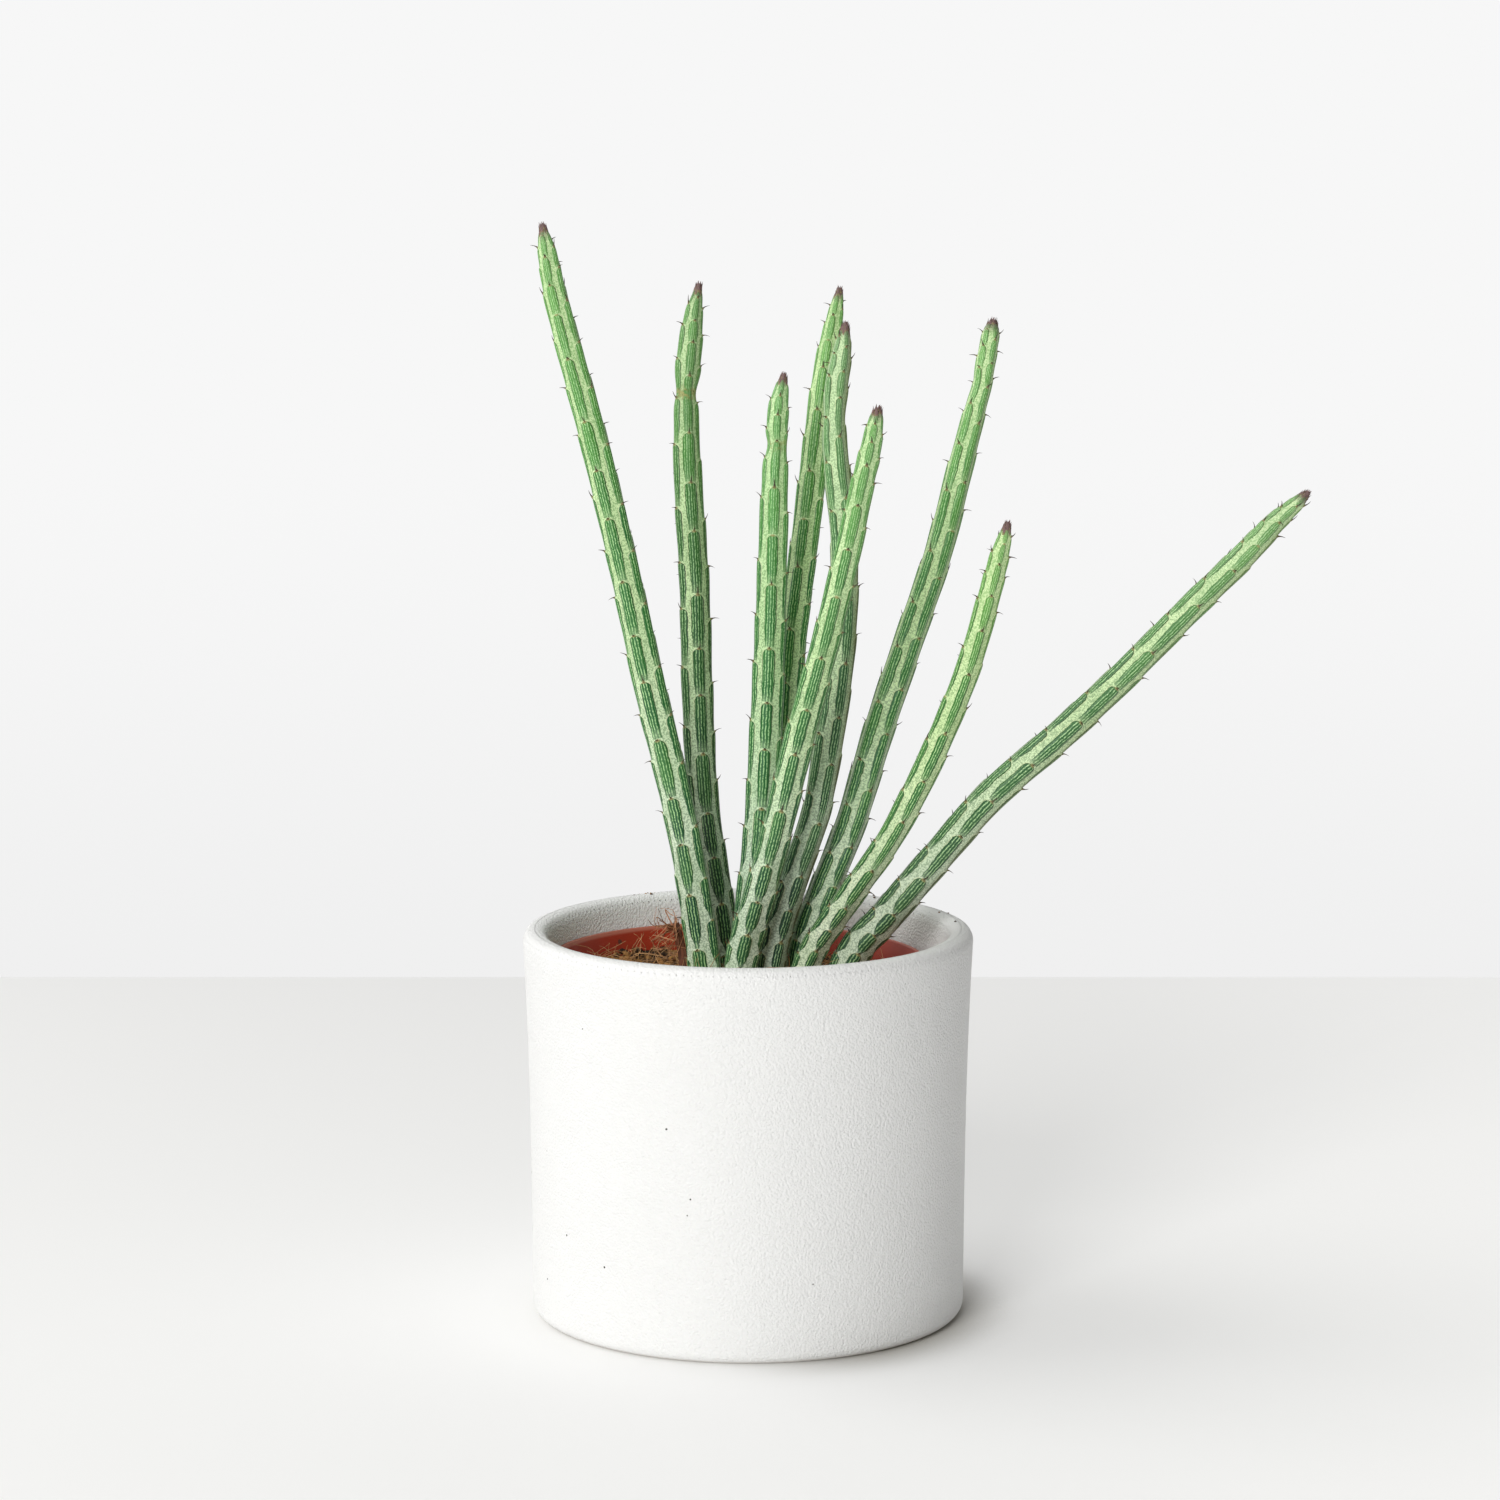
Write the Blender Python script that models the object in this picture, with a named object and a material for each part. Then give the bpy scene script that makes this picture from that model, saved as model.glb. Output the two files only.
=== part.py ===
"""Pickle plant (Kleinia stapeliiformis): rooted stems in a plastic nursery pot, inside a ceramic cover pot.

Run it with: blender --background --python part.py

Units are metres, +Z is up, and the origin is the centre of the cover pot's flat underside.
Each piece is one mesh object with its own material. Touching pieces keep a small gap.
"""
import math

import bmesh
import bpy
from mathutils import Vector

MM = 0.001
GAP = 0.3 * MM

# Cover pot: outside radii from the foot up, then the wall.
POT_HEIGHT = 121 * MM
POT_BASE_RADIUS = 67.4 * MM
POT_MID_RADIUS = 67.9 * MM
POT_UPPER_RADIUS = 69.2 * MM
POT_RIM_RADIUS = 70 * MM
POT_MID_HEIGHT = 55 * MM
POT_UPPER_HEIGHT = 91 * MM
POT_FOOT_ROUND = 3.5 * MM
POT_WALL = 7.8 * MM
POT_FLOOR = 8 * MM
POT_INNER_CORNER = 6 * MM
POT_SEGMENTS = 64

# Nursery pot: a standard 12 cm size.
NURSERY_HEIGHT = 102.5 * MM
NURSERY_RIM_RADIUS = 58.5 * MM
NURSERY_RIM_BAND = 9 * MM
NURSERY_SHOULDER_RADIUS = 56 * MM
NURSERY_BASE_RADIUS = 43 * MM
NURSERY_WALL = 1.2 * MM
NURSERY_FOOT_HEIGHT = 3 * MM
NURSERY_FOOT_WIDTH = 5 * MM
NURSERY_SEGMENTS = 48
NURSERY_OFFSET = -4 * MM
NURSERY_TILT = math.radians(0.6)
DRAIN_HOLES = 6
DRAIN_HOLE_RADIUS = 4 * MM
DRAIN_HOLE_CIRCLE = 27 * MM
DRAIN_HOLE_SIDES = 16

# Potting mix: height of its surface above the nursery pot's underside, and how uneven it is.
MIX_SURFACE = 95.5 * MM
MIX_BUMP = 0.7 * MM
MIX_RINGS = 7
MIX_SEGMENTS = 40
SOCKET_OVERRUN = 12 * MM

# Stems: ten corners around, every second one a rib. Guide points run from the foot to the tip.
STEM_CORNERS = 10
STEM_VALLEY = 0.9
STEM_STEP = 8 * MM
TIP_RADIUS = 0.6 * MM

# Each guide point is x, y, z and the radius over the ribs, in millimetres.
STEMS = {
    "stem_1": [
        (-11, -4, 79, 4.6), (-13, -3.5, 107, 5.2), (-18.5, -1, 144, 5.1), (-24.5, 2, 172, 5.1),
        (-30, 4, 195, 5.1), (-38, 7, 232, 4.7), (-46.5, 11, 268, 4.5), (-54, 14, 296, 4.1),
        (-59, 16, 315, 3.7), (-61.5, 17, 328, 3), (-62.5, 18, 333, 2),
    ],
    "stem_2": [
        (-6, 16, 80, 4.6), (-8, 17, 114, 5.1), (-14, 20, 155, 5), (-16, 24, 190, 5),
        (-17, 28, 225, 4.8), (-19, 32, 258, 4.5), (-19.5, 35, 279, 3.8), (-19.5, 35.5, 284, 3.2),
        (-19, 36.5, 291, 4), (-18, 38, 301, 3.7), (-17, 39, 309, 2.8), (-16, 40, 314, 1.7),
    ],
    "stem_3": [
        (-2, 7, 80, 4.5), (-0.5, 8, 112, 5.1), (3.5, 9, 147, 5.2), (5.5, 12, 178, 5.2),
        (7, 15, 215, 4.8), (8, 18, 247, 4.4), (8.5, 19.5, 263, 3.8), (9, 20, 269, 3),
        (9, 20.5, 274, 3.4), (9.5, 21, 281, 3.1), (10.5, 21.5, 287, 2),
    ],
    "stem_4": [
        (5, 18, 81, 4.5), (6, 18, 112, 5), (8, 20, 141, 4.8), (11.5, 26, 175, 4.7),
        (14, 32, 206, 4.7), (17.5, 38, 233, 4.5), (21, 45, 261, 4.4), (24, 50.5, 285, 4.1),
        (25.5, 53, 295, 3.7), (27, 55, 303, 3.1), (28.5, 57, 312, 1.8),
    ],
    "stem_5": [
        (6, -2.5, 80, 4.4), (7, -1.5, 111, 4.8), (16, 0, 142, 4.6), (21, 1, 157, 4.5),
        (26, 4, 186, 4.6), (29, 6, 213, 4.5), (29.5, 8, 240, 4.3), (27.5, 10, 260, 4.1),
        (26.5, 11, 272, 3.8), (26.5, 11.5, 278, 3.4), (27, 12, 287, 3.7), (28.5, 13, 296, 3.2),
        (29.5, 13.5, 303, 2),
    ],
    "stem_6": [
        (-4, -12, 78, 4.6), (-2.5, -11.5, 109, 5.2), (3, -12.5, 131, 5.1), (8, -14.5, 150, 4.8),
        (15.5, -19, 182, 4.7), (23.5, -24, 213, 4.3), (30, -29, 241, 4), (34.5, -33, 263, 3.5),
        (36.5, -35, 272, 3.2), (38, -37, 281, 2.2),
    ],
    "stem_7": [
        (14, 9.5, 81, 4.5), (17, 10, 110, 5), (22, 11, 126, 4.9), (32, 14, 151, 4.9),
        (40.5, 18, 179, 4.9), (50, 22, 207, 4.7), (59.5, 26, 235, 4.4), (66.5, 30, 262, 4),
        (71.5, 33, 281, 3.3), (73, 34, 286, 3), (74, 35, 292, 3.1), (76, 37, 303, 2.6),
    ],
    "stem_8": [
        (14.5, -5, 81, 4.1), (17.5, -5, 109, 4.4), (30, -7, 130, 4.2), (43, -11, 150, 4.1),
        (53, -14, 170, 4.2), (60.5, -18, 188, 4), (67, -21, 206, 3.8), (72.5, -25, 227, 3.5),
        (75.5, -28, 240, 2.9), (77, -29.5, 246, 1.9),
    ],
    "stem_9": [
        (25, 0, 80, 4.6), (30.5, 0.5, 109, 5.5), (41.5, 0, 123, 5.4), (59, -1, 144, 5.2),
        (75, -3, 163, 5.1), (96, -4.5, 182, 4.9), (115.5, -6, 201, 4.6), (133.5, -8, 220, 4.3),
        (151, -10, 238, 4), (160, -11, 248, 3.3), (167, -12, 254.5, 2.1),
    ],
}
TIP_LENGTH = 3.5 * MM

# Withered stub beside the left-hand stems.
DRY_STALK = [(-19, 4.5, 92, 1.6), (-19.5, 4.5, 106, 1.7), (-21, 5, 114, 1.5), (-22.5, 6, 121, 1.1)]
DRY_STALK_CORNERS = 7


def clear_scene():
    """Remove whatever the start-up scene holds."""
    for obj in list(bpy.data.objects):
        bpy.data.objects.remove(obj)


def make_material(name, color, roughness, metallic=0.0):
    """A plain Principled material for one piece."""
    material = bpy.data.materials.new(name)
    material.use_nodes = True
    shader = material.node_tree.nodes["Principled BSDF"]
    shader.inputs["Base Color"].default_value = (*color, 1.0)
    shader.inputs["Roughness"].default_value = roughness
    shader.inputs["Metallic"].default_value = metallic
    return material


def make_object(name, shape, material=None, smooth=True):
    """Turn a bmesh into a named object in the scene, with outward normals."""
    bmesh.ops.recalc_face_normals(shape, faces=shape.faces)
    for face in shape.faces:
        face.smooth = smooth
    mesh = bpy.data.meshes.new(name)
    shape.to_mesh(mesh)
    shape.free()
    if material is not None:
        mesh.materials.append(material)
    obj = bpy.data.objects.new(name, mesh)
    bpy.context.collection.objects.link(obj)
    return obj


def add_cut(obj, cutter):
    """Cut a hidden shape out of an object."""
    cutter.hide_render = True
    cutter.display_type = "WIRE"
    cut = obj.modifiers.new("cut_" + cutter.name, "BOOLEAN")
    cut.operation = "DIFFERENCE"
    cut.solver = "EXACT"
    cut.object = cutter


def arc(centre_r, centre_z, radius, start, end, steps):
    """Outline points (r, z) along an arc, with the angles in degrees from +r towards +z."""
    points = []
    for step in range(steps + 1):
        angle = math.radians(start + (end - start) * step / steps)
        points.append((centre_r + radius * math.cos(angle), centre_z + radius * math.sin(angle)))
    return points


def lathe(outline, segments):
    """Spin a closed outline of (r, z) points around the Z axis."""
    shape = bmesh.new()
    corners = [shape.verts.new((r, 0, z)) for r, z in outline]
    edges = [shape.edges.new((corners[i - 1], corners[i])) for i in range(len(corners))]
    bmesh.ops.spin(
        shape, geom=corners + edges, cent=(0, 0, 0), axis=(0, 0, 1),
        angle=2 * math.pi, steps=segments, use_merge=True)
    bmesh.ops.remove_doubles(shape, verts=shape.verts, dist=0.001 * MM)
    return shape


def guide_curve(points):
    """Centre points and radii along a smooth curve through guide points given in millimetres."""
    guides = [Vector(point) * MM for point in points]
    first = guides[0] * 2 - guides[1]
    last = guides[-1] * 2 - guides[-2]
    guides = [first] + guides + [last]
    curve = []
    for before, start, end, after in zip(guides, guides[1:], guides[2:], guides[3:]):
        length = (end.xyz - start.xyz).length
        pieces = max(1, round(length / STEM_STEP))
        for piece in range(pieces):
            t = piece / pieces
            curve.append(0.5 * (
                2 * start + (end - before) * t
                + (2 * before - 5 * start + 4 * end - after) * t ** 2
                + (3 * start - before - 3 * end + after) * t ** 3))
    curve.append(guides[-2])
    return [(point.xyz, point.w) for point in curve]


def sweep(curve, corners, valley, grow=0.0):
    """A closed ribbed tube along centre points and radii, whose cross-section never twists."""
    shape = bmesh.new()
    side = Vector((1, 0, 0))
    rings = []
    for index, (centre, radius) in enumerate(curve):
        after = curve[min(index + 1, len(curve) - 1)][0]
        before = curve[max(index - 1, 0)][0]
        along = (after - before).normalized()
        side = (side - along * side.dot(along)).normalized()
        across = along.cross(side)
        ring = []
        for corner in range(corners):
            angle = 2 * math.pi * corner / corners
            reach = radius * (valley if corner % 2 else 1.0) + grow
            ring.append(shape.verts.new(
                centre + (side * math.cos(angle) + across * math.sin(angle)) * reach))
        rings.append(ring)
    for lower, upper in zip(rings, rings[1:]):
        for corner in range(corners):
            following = (corner + 1) % corners
            shape.faces.new((lower[corner], lower[following], upper[following], upper[corner]))
    shape.faces.new(reversed(rings[0]))
    shape.faces.new(rings[-1])
    return shape


def stem_curve(points):
    """A stem's centre line, closed by a short narrowing tip."""
    curve = guide_curve(points)
    last = curve[-1][0]
    heading = (last - curve[-2][0]).normalized()
    curve.append((last + heading * TIP_LENGTH, TIP_RADIUS))
    return curve


def build_cover_pot():
    """Ceramic cover pot: one lathe-turned wall with a rounded lip and foot."""
    lip_round = POT_WALL / 2
    lip_centre = POT_RIM_RADIUS - lip_round
    floor_radius = POT_BASE_RADIUS - POT_WALL
    outline = [(0, 0)]
    outline += arc(POT_BASE_RADIUS - POT_FOOT_ROUND, POT_FOOT_ROUND, POT_FOOT_ROUND, -90, 0, 5)
    outline.append((POT_MID_RADIUS, POT_MID_HEIGHT))
    outline.append((POT_UPPER_RADIUS, POT_UPPER_HEIGHT))
    outline += arc(lip_centre, POT_HEIGHT - lip_round, lip_round, 0, 180, 8)
    outline.append((POT_UPPER_RADIUS - POT_WALL, POT_UPPER_HEIGHT))
    outline.append((POT_MID_RADIUS - POT_WALL, POT_MID_HEIGHT))
    outline += arc(
        floor_radius - POT_INNER_CORNER, POT_FLOOR + POT_INNER_CORNER, POT_INNER_CORNER, 0, -90, 4)
    outline.append((0, POT_FLOOR))
    ceramic = make_material("white_ceramic", (0.87, 0.87, 0.86), 0.55)
    return make_object("cover_pot", lathe(outline, POT_SEGMENTS), ceramic)


def place_in_cover_pot(obj):
    """Stand a piece on the cover pot's floor, off-centre and askew as the nursery pot stands."""
    lift = (NURSERY_BASE_RADIUS + GAP) * math.sin(NURSERY_TILT)
    obj.location = (NURSERY_OFFSET, 0, POT_FLOOR + GAP + lift)
    obj.rotation_euler = (0, NURSERY_TILT, 0)


def build_nursery_pot():
    """Plastic nursery pot: tapered thin wall, rim band, raised floor with drain holes."""
    band_start = NURSERY_HEIGHT - NURSERY_RIM_BAND
    inner_base = NURSERY_BASE_RADIUS - NURSERY_WALL
    foot_inner = NURSERY_BASE_RADIUS - NURSERY_FOOT_WIDTH
    outline = [
        (0, NURSERY_FOOT_HEIGHT),
        (foot_inner, NURSERY_FOOT_HEIGHT),
        (foot_inner, 0),
        (NURSERY_BASE_RADIUS, 0),
        (NURSERY_SHOULDER_RADIUS, band_start),
        (NURSERY_RIM_RADIUS - NURSERY_WALL / 4, band_start),
        (NURSERY_RIM_RADIUS, NURSERY_HEIGHT - NURSERY_WALL / 2),
        (NURSERY_RIM_RADIUS - NURSERY_WALL / 3, NURSERY_HEIGHT),
        (NURSERY_RIM_RADIUS - NURSERY_WALL, NURSERY_HEIGHT - NURSERY_WALL / 3),
        (NURSERY_SHOULDER_RADIUS - NURSERY_WALL, band_start),
        (inner_base, NURSERY_FOOT_HEIGHT + 2 * NURSERY_WALL),
        (inner_base - NURSERY_WALL, NURSERY_FOOT_HEIGHT + NURSERY_WALL),
        (0, NURSERY_FOOT_HEIGHT + NURSERY_WALL),
    ]
    plastic = make_material("terracotta_plastic", (0.42, 0.09, 0.045), 0.45)
    pot = make_object("nursery_pot", lathe(outline, NURSERY_SEGMENTS), plastic)
    place_in_cover_pot(pot)

    holes = bmesh.new()
    for hole in range(DRAIN_HOLES):
        angle = 2 * math.pi * hole / DRAIN_HOLES
        made = bmesh.ops.create_cone(
            holes, cap_ends=True, segments=DRAIN_HOLE_SIDES,
            radius1=DRAIN_HOLE_RADIUS, radius2=DRAIN_HOLE_RADIUS, depth=4 * NURSERY_WALL)
        offset = (
            DRAIN_HOLE_CIRCLE * math.cos(angle),
            DRAIN_HOLE_CIRCLE * math.sin(angle),
            NURSERY_FOOT_HEIGHT + NURSERY_WALL / 2)
        bmesh.ops.translate(holes, verts=made["verts"], vec=offset)
    cutter = make_object("drain_holes_cutter", holes)
    place_in_cover_pot(cutter)
    add_cut(pot, cutter)
    return pot


def mix_surface(x, y):
    """Height of the crumbly surface above the nursery pot's underside."""
    wave = math.sin(170 * x + 0.6) * math.cos(150 * y) + 0.6 * math.sin(310 * y - 240 * x)
    return MIX_SURFACE + MIX_BUMP * wave


def mix_ring(shape, radius, height=None):
    """One ring of the root ball; with no height given, it lies on the crumbly surface."""
    ring = []
    for segment in range(MIX_SEGMENTS):
        angle = 2 * math.pi * segment / MIX_SEGMENTS
        x = radius * math.cos(angle)
        y = radius * math.sin(angle)
        z = mix_surface(x, y) if height is None else height
        ring.append(shape.verts.new((x, y, z)))
    return ring


def build_potting_mix():
    """Root ball: it fills the nursery pot and has a socket around each planted stem."""
    band_start = NURSERY_HEIGHT - NURSERY_RIM_BAND
    inside = NURSERY_WALL + 2 * GAP
    middle_radius = (NURSERY_BASE_RADIUS + NURSERY_SHOULDER_RADIUS) / 2 - inside
    top_radius = NURSERY_SHOULDER_RADIUS - inside

    shape = bmesh.new()
    bottom = NURSERY_FOOT_HEIGHT + NURSERY_WALL + GAP
    rings = [mix_ring(shape, NURSERY_BASE_RADIUS - inside - NURSERY_WALL, bottom)]
    rings.append(mix_ring(shape, middle_radius, band_start / 2))
    for ring in range(MIX_RINGS):
        rings.append(mix_ring(shape, top_radius * (1 - ring / MIX_RINGS)))
    for lower, upper in zip(rings, rings[1:]):
        for segment in range(MIX_SEGMENTS):
            following = (segment + 1) % MIX_SEGMENTS
            shape.faces.new((lower[segment], lower[following], upper[following], upper[segment]))
    shape.faces.new(reversed(rings[0]))
    centre = shape.verts.new((0, 0, mix_surface(0, 0)))
    for segment in range(MIX_SEGMENTS):
        shape.faces.new((rings[-1][segment], rings[-1][(segment + 1) % MIX_SEGMENTS], centre))
    mix = make_object("potting_mix", shape, make_material("coir_peat", (0.09, 0.05, 0.028), 0.95))
    place_in_cover_pot(mix)
    return mix


def cut_socket(mix, name, curve, corners, valley):
    """Cut the hole that one stalk stands in, a gap wider and deeper than the stalk."""
    foot, radius = curve[0]
    heading = (curve[1][0] - foot).normalized()
    deeper = [(foot - heading * GAP, radius)] + curve[1:]
    planted = [point for point in deeper if point[0].z < POT_FLOOR + MIX_SURFACE + SOCKET_OVERRUN]
    cutter = make_object(name + "_socket_cutter", sweep(planted, corners, valley, GAP))
    add_cut(mix, cutter)


def build_stems(mix):
    """The rooted stems, each with its own socket in the mix."""
    for name, points in STEMS.items():
        curve = stem_curve(points)
        green = make_material(name + "_green", (0.16, 0.33, 0.14), 0.5)
        make_object(name, sweep(curve, STEM_CORNERS, STEM_VALLEY), green)
        cut_socket(mix, name, curve, STEM_CORNERS, STEM_VALLEY)


def build_dry_stalk(mix):
    """The withered stub."""
    brown = make_material("dry_brown", (0.2, 0.09, 0.045), 0.85)
    curve = guide_curve(DRY_STALK)
    make_object("dry_stalk", sweep(curve, DRY_STALK_CORNERS, STEM_VALLEY), brown)
    cut_socket(mix, "dry_stalk", curve, DRY_STALK_CORNERS, STEM_VALLEY)


def main():
    clear_scene()
    build_cover_pot()
    build_nursery_pot()
    mix = build_potting_mix()
    build_stems(mix)
    build_dry_stalk(mix)


main()
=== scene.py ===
"""Pickle plant in a plastic nursery pot and a ceramic cover pot, built around its packed CAD frame.

Run as a script inside Blender 4.5. Units are metres, +Z is up and the front faces -Y.
"""
import math
import random

import bmesh
import bpy
import numpy as np
from mathutils import Matrix, Vector, noise


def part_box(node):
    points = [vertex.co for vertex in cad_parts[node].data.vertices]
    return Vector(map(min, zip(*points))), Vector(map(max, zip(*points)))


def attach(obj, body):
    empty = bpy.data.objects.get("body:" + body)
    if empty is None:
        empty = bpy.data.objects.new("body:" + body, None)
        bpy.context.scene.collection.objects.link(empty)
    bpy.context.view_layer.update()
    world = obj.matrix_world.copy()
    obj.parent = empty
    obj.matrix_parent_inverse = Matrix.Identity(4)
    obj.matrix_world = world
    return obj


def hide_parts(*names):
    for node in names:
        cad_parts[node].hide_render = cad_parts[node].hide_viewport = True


bl_info = {
    "name": "Potted Pickle Plant",
    "version": (1, 0, 0),
    "blender": (4, 5, 0),
    "location": "3D Viewport > Sidebar > Pickle Plant",
    "description": "Builds a pickle plant with its nursery pot, cover pot and studio",
    "category": "Add Mesh",
}

MM = 0.001

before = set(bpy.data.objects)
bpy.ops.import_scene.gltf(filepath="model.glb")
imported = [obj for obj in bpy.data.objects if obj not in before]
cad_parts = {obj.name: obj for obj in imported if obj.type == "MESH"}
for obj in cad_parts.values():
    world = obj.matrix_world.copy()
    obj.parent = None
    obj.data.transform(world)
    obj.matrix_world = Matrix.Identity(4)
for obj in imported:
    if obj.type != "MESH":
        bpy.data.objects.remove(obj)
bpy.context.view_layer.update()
POT_LOW, POT_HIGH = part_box("cover_pot")
STEM_NAMES = sorted(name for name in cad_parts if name.startswith("stem_"))

# How the nursery pot stands in the cover pot: off-centre and a little askew.
NURSERY_OFFSET = -4 * MM
NURSERY_TILT = math.radians(0.6)
NURSERY_LIFT = 8.3 * MM + 43.3 * MM * math.sin(NURSERY_TILT)
# How high the mix stands in it, and how many drain holes its floor has.
MIX_SURFACE = 95.5 * MM
DRAIN_HOLES = 6

# Leaf bases stand in five rows around a stem; each row starts this share of a leaf base later.
LEAF_ROWS = 5
ROW_STEP = 0.6
# Each row sways a little along the stem, so that the leaf bases aren't evenly long.
SWAY, SWAY_CLIMB, SWAY_ROW = 0.10, 1.9, 2.4
# Where the green of a leaf base ends at its top, and how long its arch is in millimetres.
LEAF_TOP, ARCH_LENGTH = 0.975, 2.0
# From one light line in a leaf base to the next, as a share of its row.
STRIPE_WIDTH = 0.142
# A CAD stem has this many corners around.
CAD_CORNERS = 10
# Places closer together than this count as the same height.
NEAR = 0.01 * MM
# Nearly neutral light of the lamps and the world.
LAMP_COLOUR = (1.0, 0.997, 0.99)

# Per stem: the angle of its first row of leaf bases in degrees, where along the stem the rows
# start, how yellow it is, how dark it is, how grey it is and how much painted brown shade its
# right side gets away from the lights, each from 0 to 1, how wide its green patches are, and
# the length of its lowest leaf bases in millimetres.
STEM_LOOKS = {
    "stem_1": (252, 0.10, 0.30, 0.20, 0.00, 0.20, 1.03, 14.0),
    "stem_2": (284, 0.45, 0.20, 1.00, 0.00, 0.25, 1.12, 13.0),
    "stem_3": (268, 0.80, 0.10, 0.10, 0.10, 0.25, 1.00, 10.0),
    "stem_4": (252, 0.30, 0.45, 0.10, 0.00, 0.10, 1.00, 9.0),
    "stem_5": (294, 0.60, 0.15, 0.30, 0.55, 0.75, 0.92, 9.0),
    "stem_6": (266, 0.05, 0.25, 0.25, 0.10, 0.30, 1.00, 8.5),
    "stem_7": (302, 0.70, 0.35, 0.00, 0.00, 0.15, 1.02, 12.0),
    "stem_8": (280, 0.20, 0.60, 0.00, 0.10, 0.35, 0.84, 6.5),
    "stem_9": (281, 0.55, 0.40, 0.30, 0.35, 0.90, 0.96, 7.0),
}


# ---------------------------------------------------------------------------
# Sizes and colours that a user would change
# ---------------------------------------------------------------------------

def length(name, description, default):
    """A length property in metres."""
    return bpy.props.FloatProperty(
        name=name, description=description, default=default, min=0.0, unit="LENGTH", precision=5)


def share(name, description, default):
    """A property from 0 to 1."""
    return bpy.props.FloatProperty(
        name=name, description=description, default=default, min=0.0, max=1.0, subtype="FACTOR")


def colour(name, description, default):
    """A colour property."""
    return bpy.props.FloatVectorProperty(
        name=name, description=description, default=default, min=0.0, max=1.0, subtype="COLOR")


class CoverPotSettings(bpy.types.PropertyGroup):
    """Ceramic cover pot."""
    height: length("Height", "Height of the cover pot", POT_HIGH.z)
    rim_radius: length("Rim Radius", "Outside radius at the rim", POT_HIGH.x)
    base_radius: length("Base Radius", "Outside radius at the foot", 67.4 * MM)
    wall: length("Wall", "Thickness of the wall", 7.8 * MM)
    floor: length("Floor", "Thickness of the floor", 8 * MM)
    foot_round: length("Foot Rounding", "Radius of the rounded foot", 3.5 * MM)
    glaze: colour("Glaze", "Colour of the matte glaze", (0.84, 0.84, 0.83))
    speck: colour("Specks", "Colour of the specks in the glaze", (0.05, 0.045, 0.04))


class NurseryPotSettings(bpy.types.PropertyGroup):
    """Plastic nursery pot."""
    height: length("Height", "Height of the nursery pot", 102.5 * MM)
    rim_radius: length("Rim Radius", "Outside radius at the rim", 58.5 * MM)
    shoulder_radius: length("Shoulder Radius", "Outside radius below the rim band", 56 * MM)
    base_radius: length("Base Radius", "Outside radius at the foot", 43 * MM)
    band: length("Rim Band", "Height of the stiffened rim band", 9 * MM)
    wall: length("Wall", "Thickness of the wall", 1.2 * MM)
    plastic: colour("Plastic", "Colour of the plastic", (0.36, 0.034, 0.012))
    dust: colour("Dust", "Colour of the dried film on the plastic", (0.36, 0.15, 0.09))


class PottingMixSettings(bpy.types.PropertyGroup):
    """Coir and peat mix."""
    surface: length(
        "Surface", "Height of the surface above the nursery pot's underside", MIX_SURFACE)
    roughness: length("Unevenness", "How far the surface rises and falls", 0.9 * MM)
    crumbs: bpy.props.IntProperty(
        name="Crumbs", description="Number of loose crumbs", default=1900, min=0)
    fibres: bpy.props.IntProperty(
        name="Fibres", description="Number of loose coir fibres", default=560, min=0)
    peat: colour("Peat", "Colour of the dark crumbs", (0.022, 0.011, 0.006))
    coir: colour("Coir", "Colour of the golden coir", (0.42, 0.21, 0.065))
    fibre: colour("Fibre", "Colour of the loose fibres", (0.60, 0.34, 0.16))


class StemSettings(bpy.types.PropertyGroup):
    """Stems and their leaf bases."""
    leaf_base: length("Leaf Base", "Length of a leaf base halfway up a stem", 17 * MM)
    leaf_base_tip: length("Tip Leaf Base", "Length of a leaf base at the tip", 6 * MM)
    relief: length("Relief", "How far a leaf base stands out at its top", 0.46 * MM)
    patch_width: share("Patch Width", "Half width of a green patch, as a share of its row", 0.34)
    old_valley: colour("Old Valleys", "Silvery skin near the mix", (0.72, 0.87, 0.69))
    young_valley: colour("Young Valleys", "Silvery skin near the tip", (0.62, 0.84, 0.45))
    old_patch: colour("Old Patches", "Dark green near the mix", (0.007, 0.070, 0.036))
    mid_patch: colour("Patches", "Green halfway up a stem", (0.019, 0.145, 0.034))
    young_patch: colour("Young Patches", "Fresh green near the tip", (0.095, 0.34, 0.060))
    stripe: colour("Stripes", "Light lines in the patches", (0.50, 0.84, 0.40))
    scar: colour("Scars", "Corky skin where growth paused", (0.42, 0.36, 0.13))


class LeafScaleSettings(bpy.types.PropertyGroup):
    """Small awl-shaped leaf scales, and the buds at the tips."""
    length: length("Length", "Length of a leaf scale", 2.1 * MM)
    thickness: length("Thickness", "Thickness of a leaf scale at its foot", 0.95 * MM)
    bud_length: length("Bud Scale", "Length of a scale in the bud", 3.1 * MM)
    dry: colour("Dry", "Colour of the dry point", (0.035, 0.018, 0.012))
    foot: colour("Foot", "Colour of the fleshy foot", (0.22, 0.20, 0.07))
    bud: colour("Bud", "Colour of the bud", (0.13, 0.075, 0.07))


class DryStalkSettings(bpy.types.PropertyGroup):
    """Withered stub."""
    strands: bpy.props.IntProperty(
        name="Strands", description="Number of frayed strands at its top", default=34, min=0)
    bark: colour("Bark", "Colour of the dry bark", (0.20, 0.070, 0.033))
    strand: colour("Strand Colour", "Colour of the frayed strands", (0.42, 0.20, 0.09))
    split: colour("Splits", "Colour inside the splits", (0.045, 0.018, 0.01))


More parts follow.
